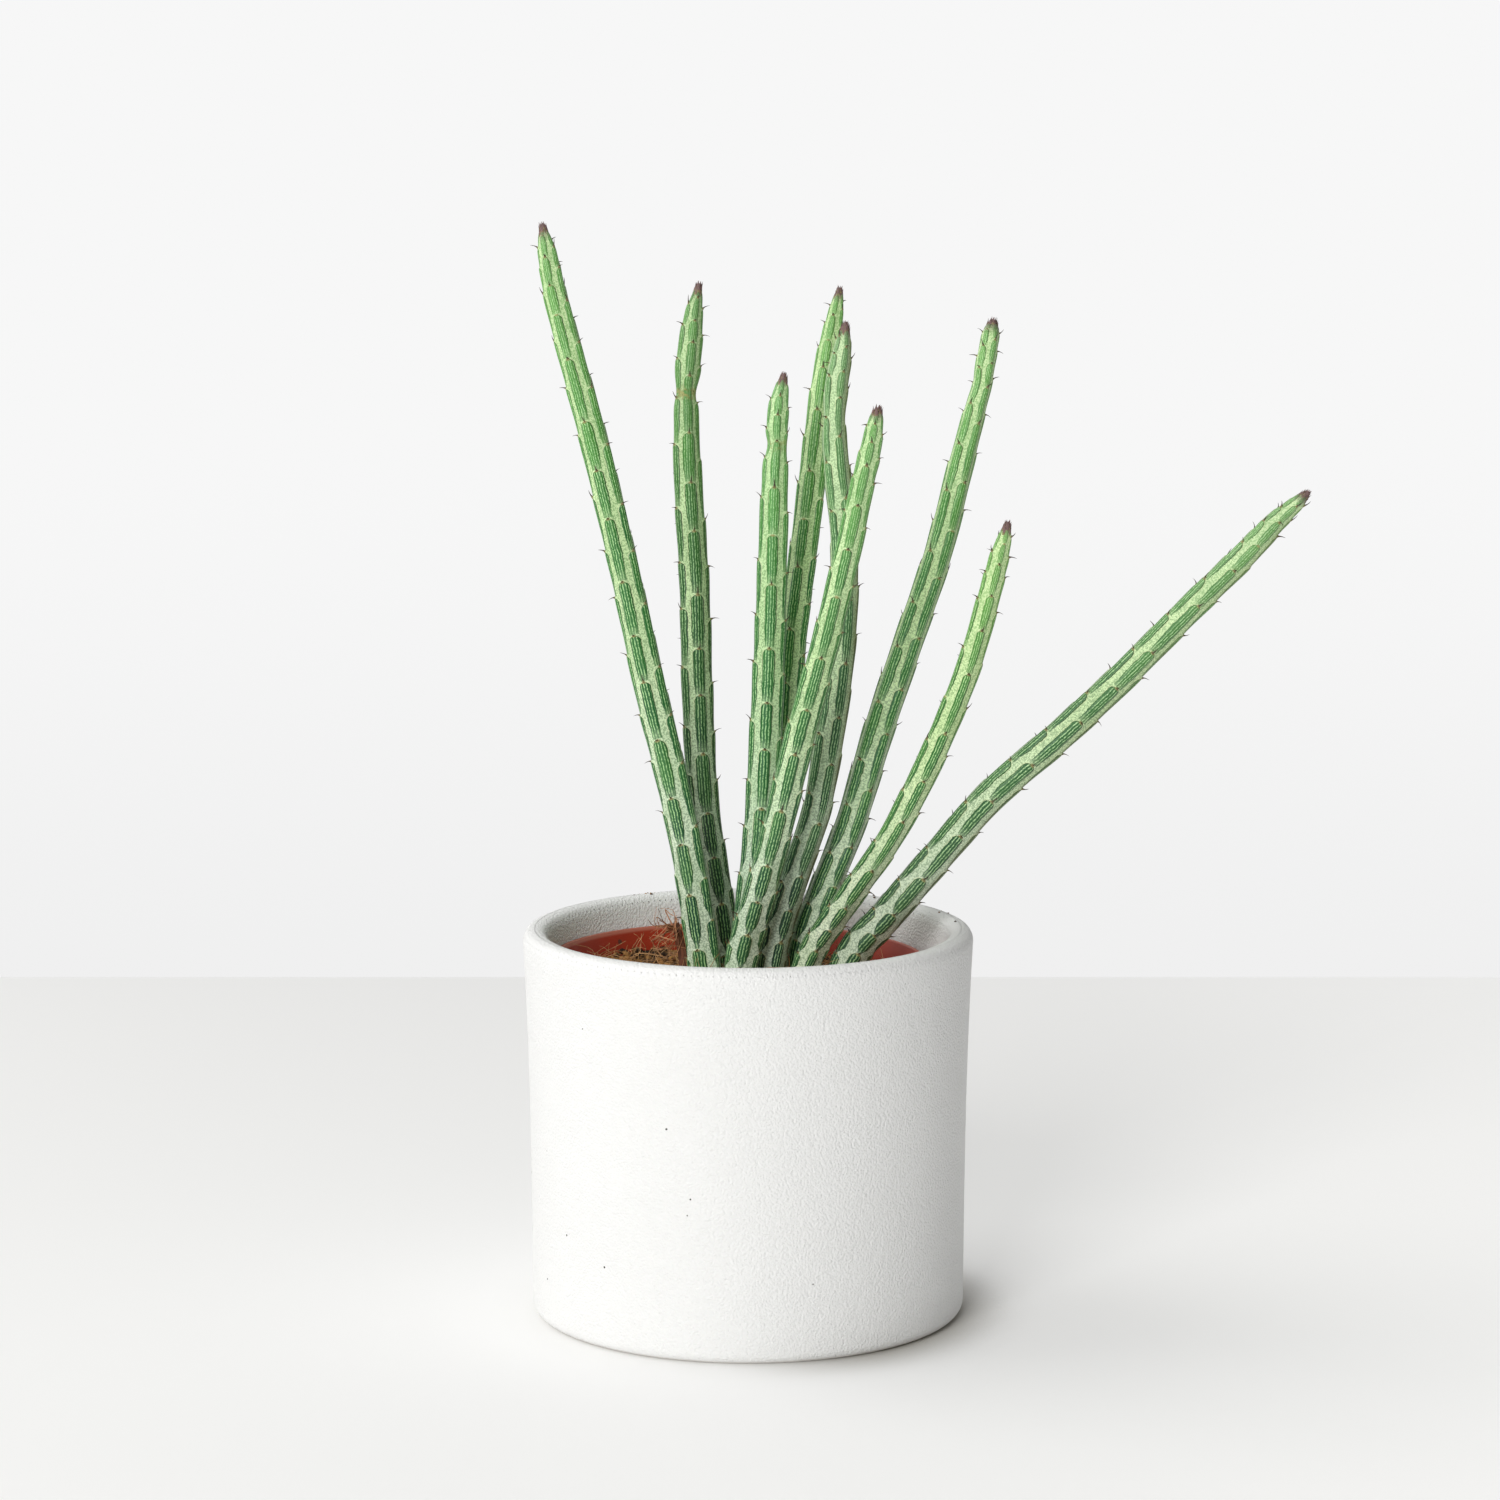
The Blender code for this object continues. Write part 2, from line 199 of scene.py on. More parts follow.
class StageSettings(bpy.types.PropertyGroup):
    """Floor, lights and camera."""
    floor: colour("Floor", "Colour of the floor", (0.74, 0.74, 0.732))
    backdrop: colour("Backdrop", "Colour behind the floor", (0.93, 0.93, 0.93))
    key_power: bpy.props.FloatProperty(
        name="Key Light", description="Power of the large light above on the left", default=14,
        min=0.0, subtype="POWER", unit="POWER")
    front_power: bpy.props.FloatProperty(
        name="Front Light", description="Power of the light in front on the left", default=39,
        min=0.0, subtype="POWER", unit="POWER")
    floor_glow: share("Floor Glow", "Even light that the floor gives off", 0.20)
    camera_distance: length("Camera Distance", "How far in front the camera stands", 1.338)
    camera_height: length("Camera Height", "Height of the camera", 0.375)
    camera_pitch: bpy.props.FloatProperty(
        name="Camera Pitch", description="How far the camera looks down",
        default=math.radians(8.445), subtype="ANGLE", unit="ROTATION")
    camera_lens: bpy.props.FloatProperty(
        name="Camera Lens", description="Focal length in millimetres", default=105.26, min=1.0)


# ---------------------------------------------------------------------------
# Modelling helpers
# ---------------------------------------------------------------------------

def start_piece():
    """Object mode with nothing selected."""
    if bpy.context.object and bpy.context.object.mode != "OBJECT":
        bpy.ops.object.mode_set(mode="OBJECT")
    bpy.ops.object.select_all(action="DESELECT")

def mode(name):
    """Switch the active object between object mode and edit mode."""
    bpy.ops.object.mode_set(mode=name)


def name_piece(name):
    """Name the active object and its mesh."""
    piece = bpy.context.object
    piece.name = name
    piece.data.name = name
    return piece


def activate(piece):
    """Make one object the only selected and the active one."""
    start_piece()
    piece.select_set(True)
    bpy.context.view_layer.objects.active = piece


def pick(kind, test):
    """In edit mode, select exactly the vertices, edges or faces whose middle passes the test."""
    bpy.ops.mesh.select_mode(type=kind)
    bpy.ops.mesh.select_all(action="DESELECT")
    mesh = bpy.context.object.data
    shape = bmesh.from_edit_mesh(mesh)
    if kind == "VERT":
        for vert in shape.verts:
            vert.select_set(test(vert.co, vert.normal))
    elif kind == "EDGE":
        for edge in shape.edges:
            along = edge.verts[1].co - edge.verts[0].co
            edge.select_set(test((edge.verts[0].co + edge.verts[1].co) / 2, along))
    else:
        for face in shape.faces:
            face.select_set(test(face.calc_center_median(), face.normal))
    shape.select_flush_mode()
    bmesh.update_edit_mesh(mesh)

def widen(factor):
    """Scale the selection flat around the axis."""
    bpy.ops.transform.resize(value=(factor, factor, 1), center_override=(0, 0, 0))


def extrude(offset, factor=1.0):
    """Extrude the selection by an offset and scale it flat around the axis."""
    bpy.ops.mesh.extrude_region_move(TRANSFORM_OT_translate={"value": offset})
    if factor != 1.0:
        widen(factor)


def bevel_edges(test, offset, segments):
    """Bevel the edges whose middle and direction pass the test."""
    pick("EDGE", test)
    bpy.ops.mesh.bevel(offset=offset, segments=segments, affect="EDGES")


def cut_at(heights):
    """Cut the whole mesh level at some heights."""
    for z in heights:
        bpy.ops.mesh.select_all(action="SELECT")
        bpy.ops.mesh.bisect(plane_co=(0, 0, z), plane_no=(0, 0, 1))


def across(point):
    """Distance of a point from the Z axis."""
    return math.hypot(point.x, point.y)


def apply_place(piece):
    """Move a piece's place into its mesh, so that its object sits at the origin."""
    activate(piece)
    bpy.ops.object.transform_apply(location=True, rotation=True, scale=True)


def add_shape(kind, name, height=None, low=0.0, **shape):
    """One of Blender's own mesh shapes; with a height given it stands on the level low."""
    start_piece()
    if height is not None:
        shape.update(depth=height, location=(0, 0, low + height / 2))
    getattr(bpy.ops.mesh, f"primitive_{kind}_add")(**shape)
    piece = name_piece(name)
    apply_place(piece)
    return piece


def apply_modifiers(piece):
    """Apply all modifiers of a piece."""
    activate(piece)
    for modifier in list(piece.modifiers):
        bpy.ops.object.modifier_apply(modifier=modifier.name)


def smooth_by_angle(piece, degrees):
    """Shade smooth, with sharp edges kept."""
    activate(piece)
    bpy.ops.object.shade_smooth_by_angle(angle=math.radians(degrees))

def smooth_by_angle(piece, degrees):
    """Shade smooth, with sharp edges kept."""
    activate(piece)
    bpy.ops.object.shade_smooth_by_angle(angle=math.radians(degrees))


def place_in_cover_pot(piece):
    """Stand a piece on the cover pot's floor as the nursery pot stands."""
    piece.location = (NURSERY_OFFSET, 0, NURSERY_LIFT)
    piece.rotation_euler = (0, NURSERY_TILT, 0)
    apply_place(piece)


def stand_in_cover_pot():
    """The same placing as a matrix."""
    return (Matrix.Translation((NURSERY_OFFSET, 0, NURSERY_LIFT))
            @ Matrix.Rotation(NURSERY_TILT, 4, "Y"))


def copy_piece(model, place):
    """A copy of a modelled shape, with its own mesh, put in place."""
    made = model.copy()
    made.data = model.data.copy()
    made.matrix_world = place
    bpy.context.scene.collection.objects.link(made)
    return made

def join_pieces(copies, name, degrees, models=()):
    """Join copies into one smooth piece, and delete the models that they were copied from."""
    for model in models:
        remove_piece(model)
    start_piece()
    for made in copies:
        made.select_set(True)
    bpy.context.view_layer.objects.active = copies[0]
    bpy.ops.object.join()
    piece = name_piece(name)
    apply_place(piece)
    smooth_by_angle(piece, degrees)
    return piece


def remove_piece(piece):
    """Delete a model that was only copied from."""
    mesh = piece.data
    bpy.data.objects.remove(piece)
    bpy.data.meshes.remove(mesh)

def dress(piece, material):
    """Give a piece one material."""
    piece.data.materials.clear()
    piece.data.materials.append(material)


def finish_piece(piece, slot, material, *nodes):
    """Let a dressed piece ride on the plant's only body, in place of its CAD nodes."""
    dress(piece, material)
    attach(piece, "root")
    if nodes:
        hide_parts(*nodes)


def smoothstep(value, low, high):
    """Smooth rise from 0 at low to 1 at high; it works on numbers and arrays."""
    share_of = np.clip((value - low) / (high - low), 0.0, 1.0)
    return share_of * share_of * (3 - 2 * share_of)


# ---------------------------------------------------------------------------
# Shader nodes
# ---------------------------------------------------------------------------

class Signal:
    """A node's output in a formula: each sum or product adds the node that works it out."""

    def __init__(self, net, socket):
        self.net, self.socket = net, socket

    def math(self, operation, other=0.0):
        return self.net.math(operation, self, other)

    def __add__(self, other):
        return self.math("ADD", other)

    def __sub__(self, other):
        return self.math("SUBTRACT", other)

    def __rsub__(self, other):
        return self.net.math("SUBTRACT", other, self)

    def __mul__(self, other):
        return self.math("MULTIPLY", other)

    def __truediv__(self, other):
        return self.math("DIVIDE", other)

    def __rtruediv__(self, other):
        return self.net.math("DIVIDE", other, self)

    __radd__, __rmul__ = __add__, __mul__

    def rise(self, low, high, start=0.0, end=1.0):
        """Smooth change from start at low to end at high."""
        inputs = dict(enumerate((self, low, high, start, end)))
        return self.net.node("MapRange", inputs, interpolation_type="SMOOTHSTEP")[0]


class Wiring:
    """Adds nodes to one tree, so that a material reads as a list of steps."""

    def __init__(self, tree):
        self.tree = tree

    def node(self, kind, inputs=None, **settings):
        """A new node with its settings and inputs, as its outputs by number and by name."""
        made = self.tree.nodes.new("ShaderNode" + kind)
        for key, value in settings.items():
            setattr(made, key, value)
        for key, value in (inputs or {}).items():
            self.feed(made.inputs[key], value)
        signals = [Signal(self, socket) for socket in made.outputs]
        return {**dict(enumerate(signals)), **{signal.socket.name: signal for signal in signals}}

    def feed(self, socket, value):
        if isinstance(value, Signal):
            self.tree.links.new(value.socket, socket)
        elif socket.type == "RGBA" and len(value) == 3:
            socket.default_value = (*value, 1.0)
        else:
            socket.default_value = value

    def math(self, operation, first, second):
        return self.node("Math", {0: first, 1: second}, operation=operation)[0]

    def mix(self, factor, first, second):
        """A colour between two colours."""
        return self.node("Mix", {0: factor, 6: first, 7: second}, data_type="RGBA")[2]

    def coats(self, base, *layers):
        """A base colour under layers, each given as its cover and its colour."""
        for cover, colour_of in layers:
            base = self.mix(cover, base, colour_of)
        return base

    def split(self, vector, kind="SeparateXYZ"):
        """The three numbers of a vector or a colour."""
        parts = self.node(kind, {0: vector})
        return parts[0], parts[1], parts[2]

    def stretch(self, vector, scale):
        return self.node("VectorMath", {0: vector, 1: scale}, operation="MULTIPLY")[0]

    def noise(self, vector, scale, detail=2.0, roughness=0.5):
        return self.node("TexNoise", {
            "Vector": vector, "Scale": scale, "Detail": detail, "Roughness": roughness})["Fac"]


class Material(Wiring):
    """The wiring of a new Principled material."""

    def __init__(self, name):
        self.material = bpy.data.materials.new(name)
        self.material.use_nodes = True
        super().__init__(self.material.node_tree)
        self.place = self.node("TexCoord")["Object"]

    def group(self, name, **values):
        """The outputs of a shared node group, mapped by the object coordinates."""
        inputs = {key.replace("_", " "): value for key, value in values.items()}
        return self.node("Group", {"Vector": self.place, **inputs},
                         node_tree=bpy.data.node_groups[name])

    def surface(self, base, roughness, relief=None, specular=0.5, **more):
        """The finished material; relief is a bump's height, strength and depth."""
        if relief:
            height, strength, depth = relief
            more["Normal"] = self.node("Bump", {
                "Height": height, "Strength": strength, "Distance": depth})[0]
        inputs = self.tree.nodes["Principled BSDF"].inputs
        for key, value in {"Base Color": base, "Roughness": roughness,
                           "Specular IOR Level": specular, **more}.items():
            self.feed(inputs[key.replace("_", " ")], value)
        return self.material


class Group(Wiring):
    """The wiring of a new shader node group: vectors and numbers in, numbers out."""

    def __init__(self, name, **inputs):
        super().__init__(bpy.data.node_groups.new(name, "ShaderNodeTree"))
        for key, default in inputs.items():
            kind = "NodeSocketVector" if default is None else "NodeSocketFloat"
            socket = self.new_socket(key, "INPUT", kind)
            if default is not None:
                socket.default_value = default
        outputs = self.tree.nodes.new("NodeGroupInput").outputs
        self.given = [Signal(self, outputs[index]) for index in range(len(inputs))]

    def new_socket(self, key, side, kind="NodeSocketFloat"):
        return self.tree.interface.new_socket(
            key.replace("_", " "), in_out=side, socket_type=kind)

    def give(self, **values):
        """Put out some named numbers."""
        for key in values:
            self.new_socket(key, "OUTPUT")
        made = self.tree.nodes.new("NodeGroupOutput")
        for index, value in enumerate(values.values()):
            self.feed(made.inputs[index], value)


def shade(base, factor):
    """A colour made darker or lighter."""
    return tuple(min(1.0, part * factor) for part in base)


def build_fine_grain():
    """Fine and coarse unevenness of a surface, from two sizes of noise and from pimples."""
    net = Group("Fine Grain", Vector=None, Grain_Scale=900.0, Cloud_Scale=40.0)
    place, grain_scale, cloud_scale = net.given
    coarse = net.noise(place, grain_scale, 2.0, 0.6)
    pimples = net.node("TexVoronoi", {"Vector": place, "Scale": grain_scale * 1.15})["Distance"]
    net.give(Height=coarse * 0.6 - pimples * 0.4,
             Clouds=net.noise(place, cloud_scale, 3.0, 0.6).rise(0.3, 0.7))


def build_dirt_flecks():
    """Scattered irregular flecks: a mask that is 1 on a fleck."""
    net = Group("Dirt Flecks", Vector=None, Spacing=60.0, Size=0.03, Amount=0.3)
    place, spacing, size, amount = net.given
    cells = net.node("TexVoronoi", {"Vector": place, "Scale": spacing})
    luck, swell, _ = net.split(cells["Color"], "SeparateColor")
    reach = size * (swell + net.noise(place, spacing * 14.0) - 0.2)
    inside = cells["Distance"].rise(reach * 0.75, reach, 1.0, 0.0)
    net.give(Mask=inside * luck.math("LESS_THAN", amount))


def build_fibre_streaks():
    """Streaks of dry plant fibre, along the third coordinate."""
    net = Group("Fibre Streaks", Vector=None, Scale=2500.0, Length=0.12)
    place, scale, squeeze = net.given
    squeezed = net.node("CombineXYZ", {0: 1.0, 1: 1.0, 2: squeeze})[0]
    lines = net.noise(net.stretch(place, squeezed), scale, 3.0, 0.6)
    net.give(Streaks=lines.rise(0.36, 0.64), Height=lines)


def build_leaf_base_pattern():
    """Green leaf bases in rows around a stem: rows count along the first coordinate of the growth
    map, and leaf bases along the second. Vector is the object coordinates, for the fine dots."""
    net = Group("Leaf Base Pattern", Vector=None, Growth_Map=None, Half_Width=0.3, Growth=0.5,
                Leaf_Length=17.0)
    place, growth_map, half_width, growth, leaf_length = net.given
    turn, climb, _ = net.split(growth_map)
    row = turn.math("FLOOR")
    wobble = net.noise(net.stretch(growth_map, (1.3, 4.0, 0.0)), 1.7)
    beside = turn - row - 0.5 + (wobble - 0.5) * 0.12
    sway = (climb * SWAY_CLIMB + row * SWAY_ROW).math("SINE")
    count = climb + row * ROW_STEP + sway * SWAY
    leaf = count.math("FLOOR")
    along = count - leaf
    corner = net.node("CombineXYZ", {0: row, 1: leaf})[0]
    luck = net.node("TexWhiteNoise", {"Vector": corner}, noise_dimensions="2D")["Value"]

    # Outline: an arch at the top, and a lower end that is narrower on old leaf bases.
    tail = along.rise(0.0, 0.42, growth.rise(0.03, 0.30, 0.30, 0.80), 1.0)
    arch_share = ARCH_LENGTH / leaf_length
    arch = ((along + arch_share - LEAF_TOP) / arch_share).math("MAXIMUM")
    arch = (1.0 - arch * arch).math("MAXIMUM").math("SQRT")
    half = half_width * (luck * 0.24 + 0.88) * tail.math("MINIMUM", arch)
    aside = beside.math("ABSOLUTE")
    inside = half - aside + net.noise(place, 1100.0) * 0.06 - 0.03
    patch = inside.rise(-0.018, 0.022)
    # The dark outline of a patch is partly its own dark edge and partly painted shade: it is darker
    # on the right flank, away from the lights.
    right = beside.rise(-0.20, 0.20, 0.45, 1.0)
    rim = inside.rise(0.0, 0.088, 1.0, 0.0) * patch * right * along.rise(0.0, 0.3)
    halo = inside.rise(-0.085, -0.02) * (1.0 - patch) * along.rise(0.35, 0.85)

    # Light dotted lines inside a patch, and fine dark dots between the patches.
    wave = ((beside + 0.012) * (2 * math.pi / STRIPE_WIDTH)).math("COSINE")
    dots = net.noise(place, 1500.0, 1.0)
    stripe = wave.rise(-0.05, 0.85) * dots.rise(0.40, 0.54, 0.30, 1.0) * inside.rise(0.025, 0.075)
    speckle = net.noise(place, 1750.0, 1.5, 0.6)

    # Corky foot of the leaf scale, right at the top of a leaf base.
    rest = ((LEAF_TOP - along) * leaf_length - 0.1).math("ABSOLUTE")
    foot = aside.rise(0.05, 0.16, 1.0, 0.0) * rest.rise(0.15, 0.55, 1.0, 0.0)
    net.give(
        Patch=patch * along.rise(0.0, 0.22, 0.72, 1.0), Rim=rim, Halo=halo, Stripe=stripe,
        Speckle=speckle.rise(0.44, 0.58), Scale_Foot=foot, Luck=luck,
        Height=inside.rise(-0.03, 0.07) * 0.9 + stripe * 0.35 + speckle * 0.35 + foot * 0.8)


def ceramic_material(settings):
    """Matte white glaze with an orange-peel surface, a few specks and a little dirt on the rim."""
    net = Material("White Ceramic")
    grain = net.group("Fine Grain", Grain_Scale=1150.0, Cloud_Scale=22.0)
    specks = net.group("Dirt Flecks", Spacing=160.0, Size=0.062, Amount=0.26)["Mask"]
    crumbs = net.group("Dirt Flecks", Spacing=420.0, Size=0.30, Amount=0.35)["Mask"]
    _, y, z = net.split(net.place)
    on_rim = z.rise(settings.height - 4 * MM, settings.height - 1 * MM) * y.rise(0.0, 0.03)
    dirt = crumbs * on_rim * net.noise(net.place, 26.0).rise(0.60, 0.68)
    # The lowest 1.4 mm turn warm grey: partly the unglazed clay of the standing ring, partly a
    # painted warm reflection of the floor.
    foot = z.rise(0.3 * MM, 1.4 * MM, 1.0, 0.0)
    base = net.coats(
        settings.glaze, (grain["Clouds"] * 0.5, shade(settings.glaze, 0.965)),
        (foot * 0.55, (0.62, 0.57, 0.50)), (specks.math("MAXIMUM", dirt), settings.speck))
    return net.surface(base, grain["Clouds"].rise(0.0, 1.0, 0.50, 0.62),
                       (grain["Height"], 1.0, 0.50 * MM), 0.4)


def plastic_material(settings):
    """Terracotta-coloured plastic with moulding lines and a dried film of dust."""
    net = Material("Terracotta Plastic")
    grain = net.group("Fine Grain", Grain_Scale=1500.0, Cloud_Scale=60.0)
    flecks = net.group("Dirt Flecks", Spacing=240.0, Size=0.20, Amount=0.22)["Mask"]
    film = net.noise(net.stretch(net.place, (1.0, 1.0, 0.35)), 95.0, 4.0, 0.6).rise(0.50, 0.80)
    z = net.split(net.place)[2]
    high = NURSERY_LIFT + settings.height
    base = net.coats(
        settings.plastic, (grain["Clouds"] * 0.35, shade(settings.plastic, 0.72)),
        (film * z.rise(high - 9 * MM, high - 4 * MM, 0.40, 0.05), settings.dust),
        # The top 1.2 mm of the rim is painted lighter: a painted highlight along the lip.
        (z.rise(high - 1.2 * MM, high - 0.2 * MM) * 0.5, (0.62, 0.27, 0.19)),
        (flecks * 0.8, (0.06, 0.03, 0.02)))
    rings = net.node("TexWave", {"Vector": net.place, "Scale": 260.0, "Distortion": 0.4},
                     wave_type="BANDS", bands_direction="Z")["Fac"]
    return net.surface(base, film * 0.3 + flecks * 0.2 + 0.42,
                       (grain["Height"] + rings * 0.35, 0.3, 0.08 * MM), 0.28)


def mix_material(settings):
    """Moist peat and golden coir crumbs."""
    net = Material("Coir and Peat")
    grain = net.group("Fine Grain", Grain_Scale=1300.0, Cloud_Scale=330.0)
    patches = net.noise(net.place, 75.0, 3.0, 0.6).rise(0.40, 0.62)
    streaks = net.group("Fibre Streaks", Scale=1900.0, Length=0.3)
    golden = grain["Clouds"] * 0.70 + patches * 0.30
    base = net.coats(
        settings.peat, (golden.rise(0.30, 0.95), settings.coir),
        (streaks["Streaks"] * patches * 0.40, shade(settings.coir, 1.25)))
    return net.surface(
        base, 0.9, (grain["Height"] + streaks["Height"] * 0.6, 0.9, 0.5 * MM), 0.25)


def fibre_material(settings):
    """Pale, dull coir hair."""
    net = Material("Coir Fibre")
    streaks = net.group("Fibre Streaks", Scale=1200.0, Length=0.6)
    brown = net.noise(net.place, 130.0, 1.0).rise(0.35, 0.65)
    base = net.coats(shade(settings.fibre, 0.55), (streaks["Streaks"], settings.fibre),
                     (brown * 0.6, settings.coir))
    return net.surface(base, 0.8, (streaks["Height"], 0.4, 0.1 * MM))


def tinted(base, yellow, dark, grey):
    """A stem colour made yellower, darker or greyer."""
    parts = [part * (1 + gain * yellow) for part, gain in zip(base, (0.45, 0.12, -0.15))]
    middle = sum(parts) / 3
    keep = 1 - 0.45 * grey
    return tuple((part * keep + middle * (1 - keep)) * (1 - 0.55 * dark) for part in parts)


def stem_material(settings, name):
    """Waxy skin: silvery valleys, green leaf bases with light lines, corky scars, brown tip."""
    yellow, dark, grey, tan, wide = STEM_LOOKS[name][2:7]
    net = Material(f"Stem Skin {name[5:]}")
    growth, scarred, sunny, leaf_length = (
        net.node("Attribute", attribute_name=key)["Fac"]
        for key in ("growth_share", "scar", "sunny_side", "leaf_length"))
    pattern = net.group(
        "Leaf Base Pattern", Growth_Map=net.node("UVMap", uv_map="growth")[0],
        Half_Width=settings.patch_width * wide, Growth=growth, Leaf_Length=leaf_length)

    def tint(base, strength=1.0):
        return tinted(base, yellow * strength, dark * strength, grey * strength)

    green = tint(settings.mid_patch)
    fresh = tinted(settings.young_patch, yellow, dark * 0.35, grey)
    young = growth.rise(0.45, 0.95)
    clouds = net.noise(net.place, 85.0)
    valley = net.coats(
        tint(settings.old_valley, 0.4), (growth.rise(0.06, 0.60), tint(settings.young_valley, 0.3)),
        (pattern["Speckle"] * 0.48, net.mix(young, green, fresh)),
        (pattern["Halo"] * 0.5, (0.62, 0.68, 0.38)))
    patch = net.coats(
        tint(settings.old_patch), (growth.rise(0.06, 0.50), green),
        (young * 0.85 + pattern["Luck"] * 0.25 - 0.12, fresh),
        (pattern["Stripe"] * 0.85, tint(settings.stripe, 0.5)),
        (pattern["Rim"] * 0.95, shade(green, 0.35)))
    cork = scarred * net.noise(net.place, 620.0, 3.0, 0.7).rise(0.42, 0.6)
    cracks = scarred * net.noise(net.place, 900.0).rise(0.60, 0.68)
    # Painted shade: the right side of each stem, away from the lights, turns dark brown.
    browned = sunny * tan * clouds.rise(0.30, 0.60, 0.45, 1.0)
    base = net.coats(
        valley, (pattern["Patch"] * growth.rise(0.70, 1.0, 1.0, 0.88), patch),
        (pattern["Scale Foot"] * 0.7, (0.42, 0.33, 0.13)), (cork * 0.9, settings.scar),
        (cracks * 0.8, (0.07, 0.055, 0.02)),
        (clouds.rise(0.35, 0.7, 0.0, 0.18), tint(settings.young_patch)),
        (browned * 0.75, (0.13, 0.085, 0.028)),
        (growth.rise(0.975, 0.998) * 0.85, (0.12, 0.075, 0.075)))
    height = pattern["Height"] + cork * 1.2 + net.noise(net.place, 2600.0, 1.0) * 0.15
    return net.surface(base, pattern["Patch"] * -0.12 + scarred * 0.2 + 0.50,
                       (height, 0.7, 0.20 * MM), 0.35)


def scale_material(name, tip, foot):
    """Leaf scale: fleshy at its foot, dry and streaked at its point."""
    net = Material(name)
    reach = net.split(net.node("UVMap", uv_map="reach")[0])[1]
    streaks = net.group("Fibre Streaks", Scale=2600.0, Length=0.25)
    dry = (reach + streaks["Height"] * 0.5 - 0.25).rise(0.08, 0.42)
    base = net.coats(foot, (dry, tip), (streaks["Streaks"] * 0.45, shade(tip, 2.1)))
    return net.surface(base, 0.6, (streaks["Height"], 0.5, 0.12 * MM))


def bark_material(name, light, dark):
    """Dry split bark of the withered stub, or one of its strands."""
    net = Material(name)
    streaks = net.group("Fibre Streaks", Scale=1500.0, Length=0.10)
    grain = net.group("Fine Grain", Grain_Scale=2000.0, Cloud_Scale=260.0)
    base = net.coats(dark, (streaks["Streaks"], light), (grain["Clouds"] * 0.35, shade(light, 1.6)))
    return net.surface(base, 0.85, (streaks["Height"] + grain["Height"] * 0.3, 0.9, 0.4 * MM))


# ---------------------------------------------------------------------------
# Pots and mix
# ---------------------------------------------------------------------------

COVER_POT_RINGS = (0.10, 0.20, 0.32, 0.45, 0.58, 0.68, 0.77, 0.85, 0.92)


def cover_pot_radius(settings, z):
    """Outside radius of the cover pot: nearly straight, with a slow flare near the rim."""
    share_of = z / settings.height
    flare = 0.22 * share_of + 0.78 * share_of ** 3.2
    return settings.base_radius + (settings.rim_radius - settings.base_radius) * flare


def build_cover_pot(settings):
    """Cover pot: a cylinder hollowed out, flared ring by ring, with rounded lip and foot."""
    height, base, wall = settings.height, settings.base_radius, settings.wall
    pot = add_shape("cylinder", "cover_pot_ceramic", height, vertices=192, radius=base)
    mode("EDIT")
    pick("FACE", lambda middle, normal: normal.z > 0.9)
    bpy.ops.mesh.inset(thickness=wall)
    extrude((0, 0, settings.floor - height))
    rings = [share_of * height for share_of in COVER_POT_RINGS]
    cut_at(rings)
    for z in rings + [height]:
        radius = cover_pot_radius(settings, z)
        for old, new in ((base, radius), (base - wall, radius - wall)):
            pick("VERT", lambda point, normal: abs(point.z - z) < NEAR
                 and abs(across(point) - old) < 0.5 * MM)
            widen(new / old)
    bevel_edges(lambda middle, along: middle.z > height - NEAR, wall / 2 - 0.05 * MM, 9)
    bevel_edges(lambda middle, along: middle.z < NEAR, settings.foot_round, 7)
    bevel_edges(lambda middle, along: abs(middle.z - settings.floor) < NEAR, 6 * MM, 6)
    # The underside is hollowed slightly, which leaves an unglazed standing ring.
    pick("FACE", lambda middle, normal: normal.z < -0.99 and middle.z < NEAR)
    bpy.ops.mesh.inset(thickness=5 * MM)
    bpy.ops.mesh.inset(thickness=1.2 * MM)
    bpy.ops.transform.translate(value=(0, 0, 0.9 * MM))
    mode("OBJECT")
    smooth_by_angle(pot, 40)
    return pot


def build_nursery_pot(settings):
    """Nursery pot: a hollow cone drawn up into a rim band, with drain holes in a raised floor."""
    base, shoulder, rim = settings.base_radius, settings.shoulder_radius, settings.rim_radius
    band, wall, height = settings.band, settings.wall, settings.height
    body, floor_lift = height - band, 3 * MM
    pot = add_shape(
        "cone", "nursery_pot_plastic", body, vertices=144, radius1=base, radius2=shoulder)
    mode("EDIT")
    pick("FACE", lambda middle, normal: normal.z > 0.9)
    extrude((0, 0, 0), (rim - wall / 4) / shoulder)
    extrude((0, 0, band), rim / (rim - wall / 4))
    bpy.ops.mesh.inset(thickness=wall)
    extrude((0, 0, -band), (shoulder - wall) / (rim - wall))
    extrude((0, 0, floor_lift + wall - body), (base - wall) / (shoulder - wall))
    pick("FACE", lambda middle, normal: normal.z < -0.9 and middle.z < NEAR)
    bpy.ops.mesh.inset(thickness=5 * MM)
    bpy.ops.transform.translate(value=(0, 0, floor_lift))
    bevel_edges(lambda middle, along: middle.z > height - NEAR, 0.42 * MM, 3)
    bevel_edges(lambda middle, along: abs(middle.z - body) < NEAR and abs(along.z) < 1e-6,
                0.35 * MM, 2)
    mode("OBJECT")

    drill = add_shape("cylinder", "drain_hole", vertices=24, radius=4 * MM, depth=6 * MM)
    holes = [copy_piece(drill, Matrix.Rotation(2 * math.pi * turn / DRAIN_HOLES, 4, "Z")
                        @ Matrix.Translation((27 * MM, 0, 3.6 * MM)))
             for turn in range(DRAIN_HOLES)]
    holes = join_pieces(holes, "drain_holes", 30, [drill])
    cut = pot.modifiers.new("drain_holes", "BOOLEAN")
    cut.operation = "DIFFERENCE"
    cut.solver = "EXACT"
    cut.object = holes
    apply_modifiers(pot)
    remove_piece(holes)
    place_in_cover_pot(pot)
    smooth_by_angle(pot, 35)
    return pot


